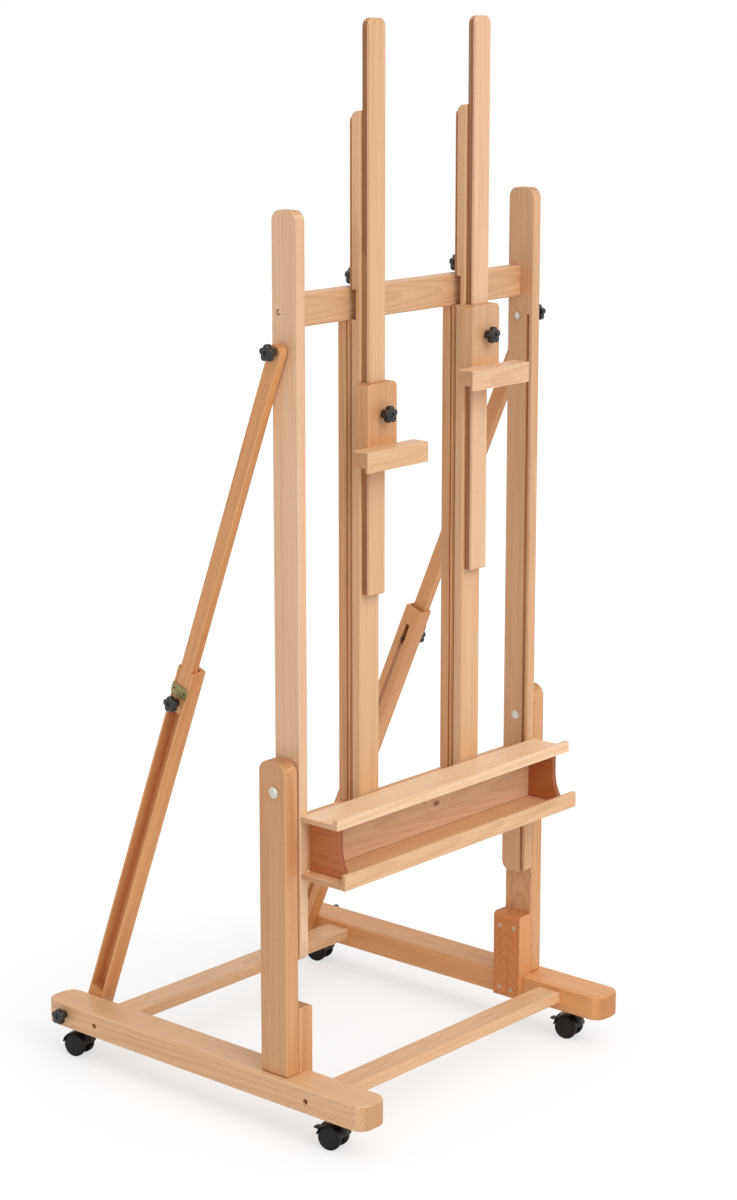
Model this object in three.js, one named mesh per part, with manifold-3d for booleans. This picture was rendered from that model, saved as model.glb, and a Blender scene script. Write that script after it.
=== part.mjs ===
// Wooden studio easel: a wheeled H base, two posts that carry a tilting H frame, two telescoping masts with
// top holders, a sliding canvas rest with a paint tray, and two telescoping back struts.
// Millimetres, +Z up, origin on the floor at the centre of the base. The front of the easel faces -Y.
import * as THREE from 'three';
import Module from 'manifold-3d';
import { mergeVertices } from 'three/addons/utils/BufferGeometryUtils.js';

const wasm = await Module();
wasm.setup();

// General fits
const seatGap = 0.3; // between pieces that touch or are glued
const slideGap = 0.5; // each side of a piece that slides in a housing
const pivotGap = 1; // round a bolt that a leaning strut swings on
const boltGap = 0.4; // round a bolt in a straight bore
const overrun = 2; // how far a cutter runs past the face it opens
const edgeEase = 2.5; // rounding of the long edges of the timber
const fineEase = 1.2; // rounding of the thin tray boards and blocks
const edgeCorner = 3.4; // corner radius of timber sections whose ends are eased by edgeEase
const fineCorner = 1.8; // corner radius of thin sections whose ends are eased by fineEase
const easeSteps = 1;
const arcSteps = 5;
const smallArcSteps = 2;

// Feet and stretchers
const footLength = 895;
const footWidth = 78;
const footHeight = 53;
const footEndRadius = 28;
const footSpacing = 684; // clear width between the feet
const casterHeight = 68; // underside of the feet above the floor
const stretcherThickness = 24.5;
const stretcherRise = 18; // above the underside of the feet
const frontStretcherDepth = 58;
const frontStretcherSetback = 134; // its centre from the front end of the feet
const rearStretcherDepth = 63;
const rearStretcherSetback = 153.5; // its centre from the rear end of the feet
const stretcherBoltBore = 12;
const stretcherBoltDepth = 12;
const stretcherBoltRise = 26; // above the underside of the feet
const stretcherBoltSetback = 148.5; // from both ends of the feet

// Posts, their blocks and the tilt bolts
const postThickness = 35;
const postDepth = 72;
const postInset = 14; // from the outer face of the foot
const postSetback = 244; // its centre from the front end of the feet
const postAbovePivot = 60;
const postTopRadius = 24;
const postBlockThickness = 39;
const postBlockHeight = 136; // above the top of the foot
const postBlockLip = 10; // thickness of the lip that hangs over the foot's inner face
const postBlockRadius = 9;
const tiltBoltDiameter = 10;
const tiltHeadDiameter = 24;
const tiltHeadThickness = 5;
const tiltNutThickness = 6;

// Side boards and crossbars of the tilting frame
const boardThickness = 23.5;
const boardDepth = 66;
const boardGap = 2.5; // between the board and its post
const boardAhead = 6; // board centre ahead of the post centre
const boardTopHeight = 1815;
const boardBottomHeight = 352;
const boardTopRadius = 20;
const boardBottomRadius = 20;
const guideGrooveWidth = 8;
const guideGrooveDepth = 8;
const guideGrooveSetback = 8.5; // behind the front face of the board
const guideGrooveTopHeight = 1557;
const crossbarThickness = 30;
const crossbarWidth = 63;
const upperCrossbarHeight = 1593.5;
const lowerCrossbarHeight = 567;
const crossbarBoltBore = 12.5;
const crossbarBoltDepth = 6;

// Masts: spine, rail and sliding extension
const mastSpacing = 315; // between the mast centres
const railWidth = 57;
const railDepth = 27.7;
const railTopHeight = 1990;
const railTopRadius = 22;
const railGrooveWidth = 5;
const railGrooveDepth = 6;
const railGrooveInset = 2; // from the rear face of the rail
const railHousingHeight = 58;
const railHousingDepth = 17;
const spineGrooveWidth = 4;
const spineGrooveInset = 4; // from the front face of the spine
const extensionWidth = 52;
const extensionSlabThickness = 6;
const extensionTongueWidth = 44;
const extensionTongueThickness = 12;
const extensionTopHeight = 2160.5;
const extensionBottomHeight = 1057;
const extensionTopRadius = 16;
const extensionEdgeEase = 3;
const extensionSlotTopInset = 90; // end of the T slot below the top of the extension
const slotNeckDepth = 3.4;
const slotHeadDiameter = 12.6;
const slotHeadThickness = 3.6;
const mastKnobClearance = 1.5; // between the knob and the top of the upper crossbar

// Canvas holders on the extensions
const holderWidth = 86;
const holderHeight = 152;
const holderDepth = 33.5;
const holderTopRadius = 12;
const holderKnobRise = 91; // above the underside of the holder
const leftHolderHeight = 1325;
const rightHolderHeight = 1446.5;
const ledgeLength = 180;
const ledgeDepth = 38.7;
const ledgeHeight = 31;
const ledgeLipThickness = 7;
const ledgeLipDrop = 9;

// Canvas rest and paint tray
const trayBottomHeight = 524;
const trayGap = 1; // between the tray and the front of the boards
const trayFloorReach = 24; // past the inner faces of the feet
const trayFloorDepth = 104;
const trayBoardThickness = 12;
const trayLipReach = 25; // past the inner faces of the feet, also of the canvas rest
const trayLipThickness = 9.7;
const trayLipHeight = 32.5;
const trayEndThickness = 11;
const trayEndInset = 2; // of an end plate from the inner face of the board
const trayEndTopDepth = 78.5;
const trayEndFootDepth = 102;
const trayEndCoveShare = 0.6; // height at which the cove starts
const trayEndSweepShare = 0.28; // height of the cove's control point
const trayBackSetback = 2;
const restHeight = 641; // underside of the canvas rest
const restDepth = 94;
const restThickness = 11;
const restLipHeight = 22;
const restLipThickness = 11;
const runnerWidth = 15;
const runnerDepth = 21;
const runnerTongueReach = 7.3;

// Back struts
const strutFootSetback = 60; // pivot from the rear end of the feet
const strutFootRise = 29; // pivot above the underside of the feet
const strutFootGap = 2.2; // between the channel and the inner face of the foot
const strutHeadHeight = 1553;
const strutHeadBehind = 4; // pivot behind the centre line of the side board
const strutHeadGap = 4.5; // between the side board and the arm
const channelWidth = 43;
const channelDepth = 38;
const channelFlange = 5.5;
const channelWeb = 9;
const channelLength = 860; // above the foot pivot
const channelHeel = 45; // solid length above the foot pivot
const channelSlotWidth = 10.5;
const channelSlotStart = 81;
const channelSlotTopInset = 40;
const armThickness = 20;
const armRecess = 0.5; // outer face of the arm below the lips of the channel
const armOverlap = 99.5; // length of arm inside the channel when the frame stands upright
const lockBoltInset = 22; // lock bolt above the lower end of the arm
const lockBoltPlay = 0.25; // lets its head follow the drift of the arm as the strut folds
const strapHeight = 24;
const strapThickness = 1.6;
const strapBelowTop = 50;

// Star knobs and their bolts
const knobDiameter = 34;
const knobWaistShare = 0.8; // radius between two lobes over radius at a lobe
const knobLobes = 5;
const knobStepsPerLobe = 6;
const knobHeadThickness = 13;
const knobHubDiameter = 18;
const knobHubLength = 11;
const knobEase = 2.2;
const knobDotDiameter = 9;
const knobDotDepth = 2;
const studDiameter = 8;
const lockBoltDiameter = 7;
const boltHeadDiameter = 15;
const boltHeadThickness = 4;
const collarDiameter = 16;

// Casters
const casterFrontSetback = 85;
const casterRearSetback = 85;
const casterTrail = 21;
const casterTrailAngle = THREE.MathUtils.degToRad(99);
const wheelDiameter = 50;
const wheelWidth = 14;
const wheelEdge = 2.5;
const wheelHubDiameter = 30;
const wheelHubRecess = 2;
const wheelGap = 1;
const axleDiameter = 6;
const hoodWeb = 14;
const hoodShell = 2.6;
const hoodRise = 4; // lower edge of the hood above the axle
const bossDiameter = 22;
const stemDiameter = 8;
const stemLength = 32; // inside the foot
const flangeDiameter = 30;
const flangeThickness = 3;
const brakeThickness = 3;
const brakeWidth = 18;
const brakeTipLength = 13;
const brakeStart = THREE.MathUtils.degToRad(18);
const brakeEnd = THREE.MathUtils.degToRad(62);
const wheelSteps = 20;
const hoodSteps = 24;
const roundSteps = 12;

// Places worked out from the driving sizes
const footInnerX = footSpacing / 2;
const footOuterX = footInnerX + footWidth;
const footTopZ = casterHeight + footHeight;
const frontY = -footLength / 2;
const rearY = footLength / 2;
const postY = frontY + postSetback;
const postOuterX = footOuterX - postInset;
const postInnerX = postOuterX - postThickness;
const boardOuterX = postInnerX - boardGap;
const boardInnerX = boardOuterX - boardThickness;
const boardY = postY - boardAhead;
const boardFrontY = boardY - boardDepth / 2;
const mastKnobHeight = upperCrossbarHeight + crossbarWidth + mastKnobClearance + knobDiameter / 2;
const footPivot = {
  x: footInnerX - strutFootGap,
  y: rearY - strutFootSetback,
  z: casterHeight + strutFootRise,
};
const headPivot = {
  x: boardOuterX + strutHeadGap + armThickness + armRecess,
  y: boardY + strutHeadBehind,
  z: strutHeadHeight,
};
// The tilt axis lies as far from the foot pivot as from the head pivot of the struts,
// so each strut swings through exactly half the tilt of the frame.
const tiltAxisZ = (strutHeadBehind ** 2 + headPivot.z ** 2 - (footPivot.y - boardY) ** 2 - footPivot.z ** 2)
  / (2 * (headPivot.z - footPivot.z));
const strutLength = Math.hypot(
  headPivot.x - footPivot.x,
  headPivot.y - footPivot.y,
  headPivot.z - footPivot.z,
);
const strutLean = Math.asin((headPivot.x - footPivot.x) / strutLength);
const armWidth = channelWidth - 2 * (channelFlange + slideGap);
const armEnd = channelLength - armOverlap;
const lockBoltAt = armEnd + lockBoltInset;
const railRearY = boardY - seatGap;
const railFrontY = railRearY - railDepth;
const extensionRearY = railFrontY - seatGap;
const extensionThickness = extensionSlabThickness + extensionTongueThickness;
const extensionFrontY = extensionRearY - extensionThickness;
const holderFrontY = extensionRearY - holderDepth;
const trayRearY = boardFrontY - trayGap;
const trayFloorTopZ = trayBottomHeight + trayBoardThickness;
const trayLipRearY = trayRearY - trayFloorDepth - seatGap;

// Materials
function finish(color, roughness, metalness) {
  return { color, roughness, metalness };
}

const beech = finish(0xdcae86, 0.55, 0);
const paleBeech = finish(0xe2b892, 0.55, 0);
const darkBeech = finish(0xc98f5e, 0.55, 0);
const blackPlastic = finish(0x161618, 0.42, 0);
const rubber = finish(0x1b1b1c, 0.7, 0);
const steel = finish(0xb8babd, 0.32, 1);
const brass = finish(0x8a7a45, 0.45, 1);

// Solid helpers
function toSolid(geometry) {
  const bare = geometry.clone();
  bare.deleteAttribute('normal');
  bare.deleteAttribute('uv');
  const merged = mergeVertices(bare);
  return new wasm.Manifold(new wasm.Mesh({
    numProp: 3,
    vertProperties: new Float32Array(merged.attributes.position.array),
    triVerts: new Uint32Array(merged.index.array),
  }));
}

function toGeometry(solid) {
  const mesh = solid.getMesh();
  const geometry = new THREE.BufferGeometry();
  geometry.setAttribute('position', new THREE.BufferAttribute(mesh.vertProperties, 3));
  geometry.setIndex(new THREE.BufferAttribute(mesh.triVerts, 1));
  return geometry;
}

function cut(body, ...tools) {
  let solid = toSolid(body);
  for (const tool of tools) solid = solid.subtract(toSolid(tool));
  return toGeometry(solid);
}

function join(body, ...others) {
  let solid = toSolid(body);
  for (const other of others) solid = solid.add(toSolid(other));
  return toGeometry(solid);
}

// A copy of a closed geometry mirrored in the plane x = 0, with its faces still pointing out
function mirrored(geometry) {
  const copy = mergeVertices(toGeometry(toSolid(geometry)));
  copy.applyMatrix4(new THREE.Matrix4().makeScale(-1, 1, 1));
  const index = copy.index.array;
  for (let i = 0; i < index.length; i += 3) {
    [index[i], index[i + 1]] = [index[i + 1], index[i]];
  }
  return copy;
}

// Outline of a rectangle from (left, low) to (right, high) with its own radius at each corner,
// in the order low left, low right, high right, high left
function outline(left, right, low, high, radii) {
  const corners = [
    { x: left, y: low, start: Math.PI },
    { x: right, y: low, start: -Math.PI / 2 },
    { x: right, y: high, start: 0 },
    { x: left, y: high, start: Math.PI / 2 },
  ];
  const points = [];
  corners.forEach((corner, i) => {
    const radius = radii[i];
    const cx = corner.x + (corner.x === left ? radius : -radius);
    const cy = corner.y + (corner.y === low ? radius : -radius);
    const steps = radius > edgeCorner ? arcSteps : smallArcSteps;
    for (let step = 0; step <= (radius > 0 ? steps : 0); step += 1) {
      const angle = corner.start + (Math.PI / 2) * (step / steps);
      points.push(new THREE.Vector2(cx + radius * Math.cos(angle), cy + radius * Math.sin(angle)));
    }
  });
  return new THREE.Shape(points);
}

function evenOutline(left, right, low, high, radius = 0) {
  return outline(left, right, low, high, [radius, radius, radius, radius]);
}

// Outline of a bar with round or square ends along its second axis
function roundEnded(width, low, high, lowRound, highRound, radius) {
  const half = width / 2;
  return outline(-half, half, low, high, [
    lowRound ? half : radius,
    lowRound ? half : radius,
    highRound ? half : radius,
    highRound ? half : radius,
  ]);
}

function prism(shape, length, ease, steps = easeSteps) {
  const geometry = new THREE.ExtrudeGeometry(shape, {
    depth: length - 2 * ease,
    steps: 1,
    bevelEnabled: ease > 0,
    bevelThickness: ease,
    bevelSize: ease,
    bevelOffset: -ease,
    bevelSegments: steps,
  });
  return geometry.translate(0, 0, ease);
}

// Plan outline (x, y), extruded upwards from z = 0
function planProfile(shape, height, ease = 0, steps = easeSteps) {
  return prism(shape, height, ease, steps);
}

// Side outline (y, z), extruded towards +x from x = 0
function sideProfile(shape, width, ease = 0, steps = easeSteps) {
  const turn = new THREE.Matrix4().makeBasis(
    new THREE.Vector3(0, 1, 0),
    new THREE.Vector3(0, 0, 1),
    new THREE.Vector3(1, 0, 0),
  );
  return prism(shape, width, ease, steps).applyMatrix4(turn);
}

// Front outline (x, z), extruded towards -y from y = 0
function frontProfile(shape, depth, ease = 0, steps = easeSteps) {
  const turn = new THREE.Matrix4().makeBasis(
    new THREE.Vector3(1, 0, 0),
    new THREE.Vector3(0, 0, 1),
    new THREE.Vector3(0, -1, 0),
  );
  return prism(shape, depth, ease, steps).applyMatrix4(turn);
}

function boxBetween(x0, x1, y0, y1, z0, z1) {
  const box = new THREE.BoxGeometry(x1 - x0, y1 - y0, z1 - z0);
  return box.translate((x0 + x1) / 2, (y0 + y1) / 2, (z0 + z1) / 2);
}

// A solid of revolution about the x axis, from pairs of (place along x, radius)
function turnedAlongX(pairs, steps = roundSteps) {
  const points = pairs.map(([along, radius]) => new THREE.Vector2(radius, along));
  return new THREE.LatheGeometry(points, steps).rotateZ(-Math.PI / 2);
}

function rodAlongX(x0, x1, diameter, steps = roundSteps) {
  const radius = diameter / 2;
  return turnedAlongX([[x0, 0], [x0, radius], [x1, radius], [x1, 0]], steps);
}

function rodAlongY(y0, y1, diameter, steps = roundSteps) {
  return rodAlongX(y0, y1, diameter, steps).rotateZ(Math.PI / 2);
}

function rodAlongZ(z0, z1, diameter) {
  return rodAlongX(z0, z1, diameter).rotateY(-Math.PI / 2);
}

const model = new THREE.Group();

function add(parent, name, geometry, look, x = 0, y = 0, z = 0) {
  const shown = toGeometry(toSolid(geometry));
  shown.computeVertexNormals();
  const mesh = new THREE.Mesh(shown, new THREE.MeshStandardMaterial(look));
  mesh.name = name;
  mesh.position.set(x, y, z);
  parent.add(mesh);
  return mesh;
}

// Adds the right-hand piece and its mirror image on the left
function addPair(name, geometry, look, x, y, z) {
  add(model, `${name}_right`, geometry, look, x, y, z);
  add(model, `${name}_left`, mirrored(geometry), look, -x, y, z);
}

// Star knob along +x: hub from x = 0, lobed head at its end
function starHead() {
  const radius = knobDiameter / 2;
  const count = knobLobes * knobStepsPerLobe;
  const points = [];
  for (let i = 0; i < count; i += 1) {
    const angle = (2 * Math.PI * i) / count;
    const wave = (1 + Math.cos(knobLobes * angle)) / 2;
    const reach = radius * (knobWaistShare + (1 - knobWaistShare) * Math.sqrt(wave));
    points.push(new THREE.Vector2(reach * Math.sin(angle), reach * Math.cos(angle)));
  }
  const head = sideProfile(new THREE.Shape(points), knobHeadThickness, knobEase, 1);
  head.translate(knobHubLength, 0, 0);
  const end = knobHubLength + knobHeadThickness;
  const hub = rodAlongX(0, knobHubLength + knobEase, knobHubDiameter);
  const dot = rodAlongX(end - knobDotDepth, end + overrun, knobDotDiameter);
  return cut(join(head, hub), dot);
}

// Star knob with a fixed stud that runs back from its hub and may end in a round head
function studKnob(studLength, diameter, headDiameter = 0, headThickness = 0) {
  const stud = rodAlongX(-studLength, knobHubLength / 2, diameter);
  const knob = join(starHead(), stud);
  if (headDiameter === 0) return knob;
  return join(knob, rodAlongX(-studLength - headThickness, -studLength, headDiameter));
}

// Feet: long bars with rounded ends, bored for the stretcher bolts, the strut pivot and the caster stems
function footGeometry() {
  const plan = evenOutline(0, footWidth, frontY, rearY, footEndRadius);
  const body = planProfile(plan, footHeight, edgeEase);
  const bolts = [frontY + stretcherBoltSetback, rearY - stretcherBoltSetback].map((y) => (
    rodAlongX(footWidth - stretcherBoltDepth, footWidth + overrun, stretcherBoltBore).translate(0, y, stretcherBoltRise)
  ));
  const pivot = rodAlongX(-overrun, footWidth + overrun, studDiameter + 2 * boltGap);
  pivot.translate(0, footPivot.y, strutFootRise);
  const stems = [frontY + casterFrontSetback, rearY - casterRearSetback].map((y) => (
    rodAlongZ(-overrun, stemLength + boltGap, stemDiameter + 2 * boltGap).translate(footWidth / 2, y, 0)
  ));
  return cut(body, ...bolts, pivot, ...stems);
}

addPair('foot', footGeometry(), beech, footInnerX, 0, casterHeight);

// Stretchers between the feet
function stretcherGeometry(depth) {
  const reach = footInnerX - seatGap;
  const section = evenOutline(-depth / 2, depth / 2, 0, stretcherThickness, edgeCorner);
  return sideProfile(section, 2 * reach).translate(-reach, 0, 0);
}

const stretcherZ = casterHeight + stretcherRise;
const frontStretcherY = frontY + frontStretcherSetback;
const rearStretcherY = rearY - rearStretcherSetback;
add(model, 'stretcher_front', stretcherGeometry(frontStretcherDepth), beech, 0, frontStretcherY, stretcherZ);
add(model, 'stretcher_rear', stretcherGeometry(rearStretcherDepth), beech, 0, rearStretcherY, stretcherZ);

// Posts with round shoulders, bored for the tilt bolt
function postGeometry() {
  const top = tiltAxisZ + postAbovePivot - footTopZ;
  const side = outline(-postDepth / 2, postDepth / 2, seatGap, top, [
    edgeCorner,
    edgeCorner,
    postTopRadius,
    postTopRadius,
  ]);
  const bore = rodAlongX(-overrun, postThickness + overrun, tiltBoltDiameter + 2 * boltGap);
  bore.translate(0, boardY - postY, tiltAxisZ - footTopZ);
  return cut(sideProfile(side, postThickness, edgeEase), bore);
}

addPair('post', postGeometry(), darkBeech, postInnerX, postY, footTopZ);

// Blocks inside the posts: each stands on its foot and hangs a lip over the foot's inner face
function postBlockGeometry() {
  const inner = -postBlockThickness;
  const high = postBlockHeight;
  const lipOuter = footInnerX - postInnerX - seatGap;
  const lipInner = lipOuter + seatGap - postBlockLip;
  const left = Math.min(inner, lipInner);
  const body = frontProfile(
    outline(left, -seatGap, -footHeight, high, [fineCorner, fineCorner, fineCorner, postBlockRadius]),
    postDepth,
    fineEase,
  );
  const rebate = boxBetween(
    lipOuter,
    overrun,
    -postDepth - overrun,
    overrun,
    -footHeight - overrun,
    seatGap,
  );
  return cut(body, rebate);
}

addPair('post_block', postBlockGeometry(), darkBeech, postInnerX, postY + postDepth / 2, footTopZ);

// Tilt bolts: domed head outside the post, collar between post and board, nut sunk in the board
const tiltNutDiameter = tiltHeadDiameter - tiltHeadThickness;

function tiltBoltGeometry() {
  const radius = tiltBoltDiameter / 2;
  const collarIn = postInnerX - seatGap;
  const collarOut = boardOuterX + seatGap;
  const nutOut = boardInnerX + tiltNutThickness;
  const headFace = postOuterX + seatGap;
  return turnedAlongX([
    [boardInnerX, 0],
    [boardInnerX, tiltNutDiameter / 2],
    [nutOut, tiltNutDiameter / 2],
    [nutOut, radius],
    [collarOut, radius],
    [collarOut, collarDiameter / 2],
    [collarIn, collarDiameter / 2],
    [collarIn, radius],
    [headFace, radius],
    [headFace, tiltHeadDiameter / 2],
    [headFace + tiltHeadThickness / 2, tiltHeadDiameter / 2],
    [headFace + tiltHeadThickness, tiltHeadDiameter / 4],
    [headFace + tiltHeadThickness, 0],
  ]);
}

addPair('tilt_bolt', tiltBoltGeometry(), steel, 0, boardY, tiltAxisZ);

// Side boards of the tilting frame, grooved inside for the tray runners
function sideBoardGeometry() {
  const half = boardDepth / 2;
  const side = outline(-half, half, boardBottomHeight, boardTopHeight, [
    boardBottomRadius,
    boardBottomRadius,
    boardTopRadius,
    boardTopRadius,
  ]);
  const grooveFront = -half + guideGrooveSetback;
  const groove = boxBetween(
    -overrun,
    guideGrooveDepth,
    grooveFront,
    grooveFront + guideGrooveWidth,
    boardBottomHeight - overrun,
    guideGrooveTopHeight,
  );
  const tilt = rodAlongX(-overrun, boardThickness + overrun, tiltBoltDiameter + 2 * boltGap);
  tilt.translate(0, 0, tiltAxisZ);
  const nutWell = rodAlongX(-overrun, tiltNutThickness + seatGap, tiltNutDiameter + 2 * boltGap);
  nutWell.translate(0, 0, tiltAxisZ);
  const head = rodAlongX(-overrun, boardThickness + overrun, studDiameter + 2 * boltGap);
  head.translate(0, strutHeadBehind, headPivot.z);
  const barBolts = [upperCrossbarHeight, lowerCrossbarHeight].map((height) => (
    rodAlongX(boardThickness - crossbarBoltDepth, boardThickness + overrun, crossbarBoltBore)
      .translate(0, crossbarThickness / 2, height + crossbarWidth / 2)
  ));
  return cut(sideProfile(side, boardThickness, edgeEase), groove, tilt, nutWell, head, ...barBolts);
}

addPair('side_board', sideBoardGeometry(), paleBeech, boardInnerX, boardY, 0);

// Crossbars between the side boards
function crossbarGeometry() {
  const reach = boardInnerX - seatGap;
  const section = evenOutline(0, crossbarThickness, 0, crossbarWidth, edgeCorner);
  return sideProfile(section, 2 * reach).translate(-reach, 0, 0);
}

add(model, 'crossbar_upper', crossbarGeometry(), beech, 0, boardY, upperCrossbarHeight);
add(model, 'crossbar_lower', crossbarGeometry(), beech, 0, boardY, lowerCrossbarHeight);

// Mast spine in the plane of the crossbars, grooved on both flanks
function spineGeometry() {
  const half = railWidth / 2;
  const low = lowerCrossbarHeight + crossbarWidth + seatGap;
  const high = upperCrossbarHeight - seatGap;
  const plan = evenOutline(-half, half, 0, crossbarThickness, edgeCorner);
  const body = planProfile(plan, high - low).translate(0, 0, low);
  const grooves = [-1, 1].map((flank) => (
    boxBetween(
      -railGrooveDepth,
      railGrooveDepth,
      spineGrooveInset,
      spineGrooveInset + spineGrooveWidth,
      low - overrun,
      high + overrun,
    ).translate(flank * half, 0, 0)
  ));
  return cut(body, ...grooves);
}

// Mast rail in front of the crossbars: round rear shoulder, flank grooves and a housing over the crossbar
function railGeometry() {
  const half = railWidth / 2;
  const low = lowerCrossbarHeight;
  const side = outline(-railDepth, 0, low, railTopHeight, [edgeCorner, edgeCorner, railTopRadius, edgeCorner]);
  const body = sideProfile(side, railWidth, edgeEase).translate(-half, 0, 0);
  const grooves = [-1, 1].map((flank) => (
    boxBetween(
      -railGrooveDepth,
      railGrooveDepth,
      -railGrooveInset - railGrooveWidth,
      -railGrooveInset,
      low - overrun,
      railTopHeight + overrun,
    ).translate(flank * half, 0, 0)
  ));
  const housingLow = upperCrossbarHeight + (crossbarWidth - railHousingHeight) / 2;
  const housing = boxBetween(
    -half - overrun,
    half + overrun,
    -railHousingDepth,
    overrun,
    housingLow,
    housingLow + railHousingHeight,
  );
  const bore = rodAlongY(-railDepth - overrun, overrun, studDiameter + 2 * boltGap);
  bore.translate(0, 0, mastKnobHeight);
  return cut(body, ...grooves, housing, bore);
}

// Mast extension: a slab with rounded top and edges on a narrower tongue that holds a T slot
function extensionGeometry() {
  const half = extensionWidth / 2;
  const tongueHalf = extensionTongueWidth / 2;
  const low = extensionBottomHeight;
  const high = extensionTopHeight;
  const corners = [edgeCorner, edgeCorner, extensionTopRadius, extensionTopRadius];
  const slab = frontProfile(outline(-half, half, low, high, corners), extensionSlabThickness, extensionEdgeEase);
  slab.translate(0, -extensionTongueThickness, 0);
  const tongue = frontProfile(
    outline(-tongueHalf, tongueHalf, low, high, corners),
    extensionTongueThickness + extensionSlabThickness / 2,
  );
  const slotTop = high - extensionSlotTopInset;
  const neckHalf = studDiameter / 2 + slideGap;
  const headHalf = slotHeadDiameter / 2 + slideGap;
  const headEnd = -slotNeckDepth - slotHeadThickness - 2 * slideGap;
  const neck = boxBetween(-neckHalf, neckHalf, -slotNeckDepth - slideGap, overrun, low - overrun, slotTop);
  const head = boxBetween(-headHalf, headHalf, headEnd, -slotNeckDepth, low - overrun, slotTop);
  return cut(join(slab, tongue), neck, head);
}

// Holder block: wraps the slab of the extension from the front and grips behind its edges
function holderBlockGeometry() {
  const half = holderWidth / 2;
  const body = frontProfile(
    outline(-half, half, 0, holderHeight, [edgeCorner, edgeCorner, holderTopRadius, holderTopRadius]),
    holderDepth,
    edgeEase,
  );
  const slabHalf = extensionWidth / 2 + slideGap;
  const neckHalf = extensionTongueWidth / 2 + slideGap;
  const slabFront = -extensionThickness - slideGap;
  const slabRear = -extensionTongueThickness + slideGap;
  const slab = boxBetween(-slabHalf, slabHalf, slabFront, slabRear, -overrun, holderHeight + overrun);
  const neck = boxBetween(-neckHalf, neckHalf, slabRear - overrun, overrun, -overrun, holderHeight + overrun);
  const bore = rodAlongY(-holderDepth - overrun, slabFront + overrun, studDiameter + 2 * boltGap);
  bore.translate(0, 0, holderKnobRise);
  return cut(body, slab, neck, bore);
}

// Holder ledge: a bar whose front lip hangs below it to grip the top edge of a canvas
function ledgeGeometry() {
  const half = ledgeLength / 2;
  const section = new THREE.Shape([
    new THREE.Vector2(0, 0),
    new THREE.Vector2(0, ledgeHeight),
    new THREE.Vector2(-ledgeDepth, ledgeHeight),
    new THREE.Vector2(-ledgeDepth, -ledgeLipDrop),
    new THREE.Vector2(-ledgeDepth + ledgeLipThickness, -ledgeLipDrop),
    new THREE.Vector2(-ledgeDepth + ledgeLipThickness, 0),
  ].reverse());
  return sideProfile(section, ledgeLength, fineEase, 1).translate(-half, 0, 0);
}

const holderStudLength = holderDepth - extensionThickness;
const mastStudLength = railDepth + seatGap + slotNeckDepth + slideGap;
const masts = [
  { side: 'left', x: -mastSpacing / 2, holderZ: leftHolderHeight },
  { side: 'right', x: mastSpacing / 2, holderZ: rightHolderHeight },
];
for (const { side, x, holderZ } of masts) {
  add(model, `mast_spine_${side}`, spineGeometry(), beech, x, boardY, 0);
  add(model, `mast_rail_${side}`, railGeometry(), beech, x, railRearY, 0);
  add(model, `mast_extension_${side}`, extensionGeometry(), paleBeech, x, extensionRearY, 0);
  add(model, `holder_block_${side}`, holderBlockGeometry(), beech, x, extensionRearY, holderZ);
  add(model, `holder_ledge_${side}`, ledgeGeometry(), paleBeech, x, holderFrontY - seatGap, holderZ);

  const front = studKnob(holderStudLength - seatGap, studDiameter).rotateZ(-Math.PI / 2);
  add(model, `holder_knob_${side}`, front, blackPlastic, x, holderFrontY - seatGap, holderZ + holderKnobRise);

  const rear = studKnob(mastStudLength, studDiameter, slotHeadDiameter, slotHeadThickness).rotateZ(Math.PI / 2);
  add(model, `mast_knob_${side}`, rear, blackPlastic, x, railRearY + seatGap, mastKnobHeight);
}

// Paint tray under the canvas rest
const restReach = footInnerX + trayLipReach;
const floorReach = footInnerX + trayFloorReach;
const trayEndX = boardInnerX - trayEndInset - trayEndThickness;
const trayWallHeight = restHeight - trayFloorTopZ - 2 * seatGap;
const trayWallZ = trayFloorTopZ + seatGap;

function canvasRestGeometry() {
  const section = new THREE.Shape([
    new THREE.Vector2(0, 0),
    new THREE.Vector2(0, restThickness),
    new THREE.Vector2(-restDepth + restLipThickness, restThickness),
    new THREE.Vector2(-restDepth + restLipThickness, restLipHeight),
    new THREE.Vector2(-restDepth, restLipHeight),
    new THREE.Vector2(-restDepth, 0),
  ].reverse());
  return sideProfile(section, 2 * restReach, fineEase, 1).translate(-restReach, 0, 0);
}

function trayFloorGeometry() {
  const section = evenOutline(-trayFloorDepth, 0, 0, trayBoardThickness, fineCorner);
  return sideProfile(section, 2 * floorReach, fineEase, 1).translate(-floorReach, 0, 0);
}

function trayFrontLipGeometry() {
  const section = evenOutline(-trayLipThickness, 0, 0, trayLipHeight, fineCorner);
  return sideProfile(section, 2 * restReach, fineEase, 1).translate(-restReach, 0, 0);
}

function trayBackGeometry() {
  const reach = trayEndX - seatGap;
  const section = evenOutline(-trayBoardThickness, 0, 0, trayWallHeight, fineCorner);
  return sideProfile(section, 2 * reach).translate(-reach, 0, 0);
}

// End plates whose front edge sweeps out in a cove down to the tray floor
function trayEndGeometry() {
  const shape = new THREE.Shape();
  shape.moveTo(0, 0);
  shape.lineTo(0, trayWallHeight);
  shape.lineTo(-trayEndTopDepth, trayWallHeight);
  shape.lineTo(-trayEndTopDepth, trayWallHeight * trayEndCoveShare);
  shape.quadraticCurveTo(-trayEndTopDepth, trayWallHeight * trayEndSweepShare, -trayEndFootDepth, 0);
  return sideProfile(shape, trayEndThickness, fineEase, 1);
}

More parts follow.
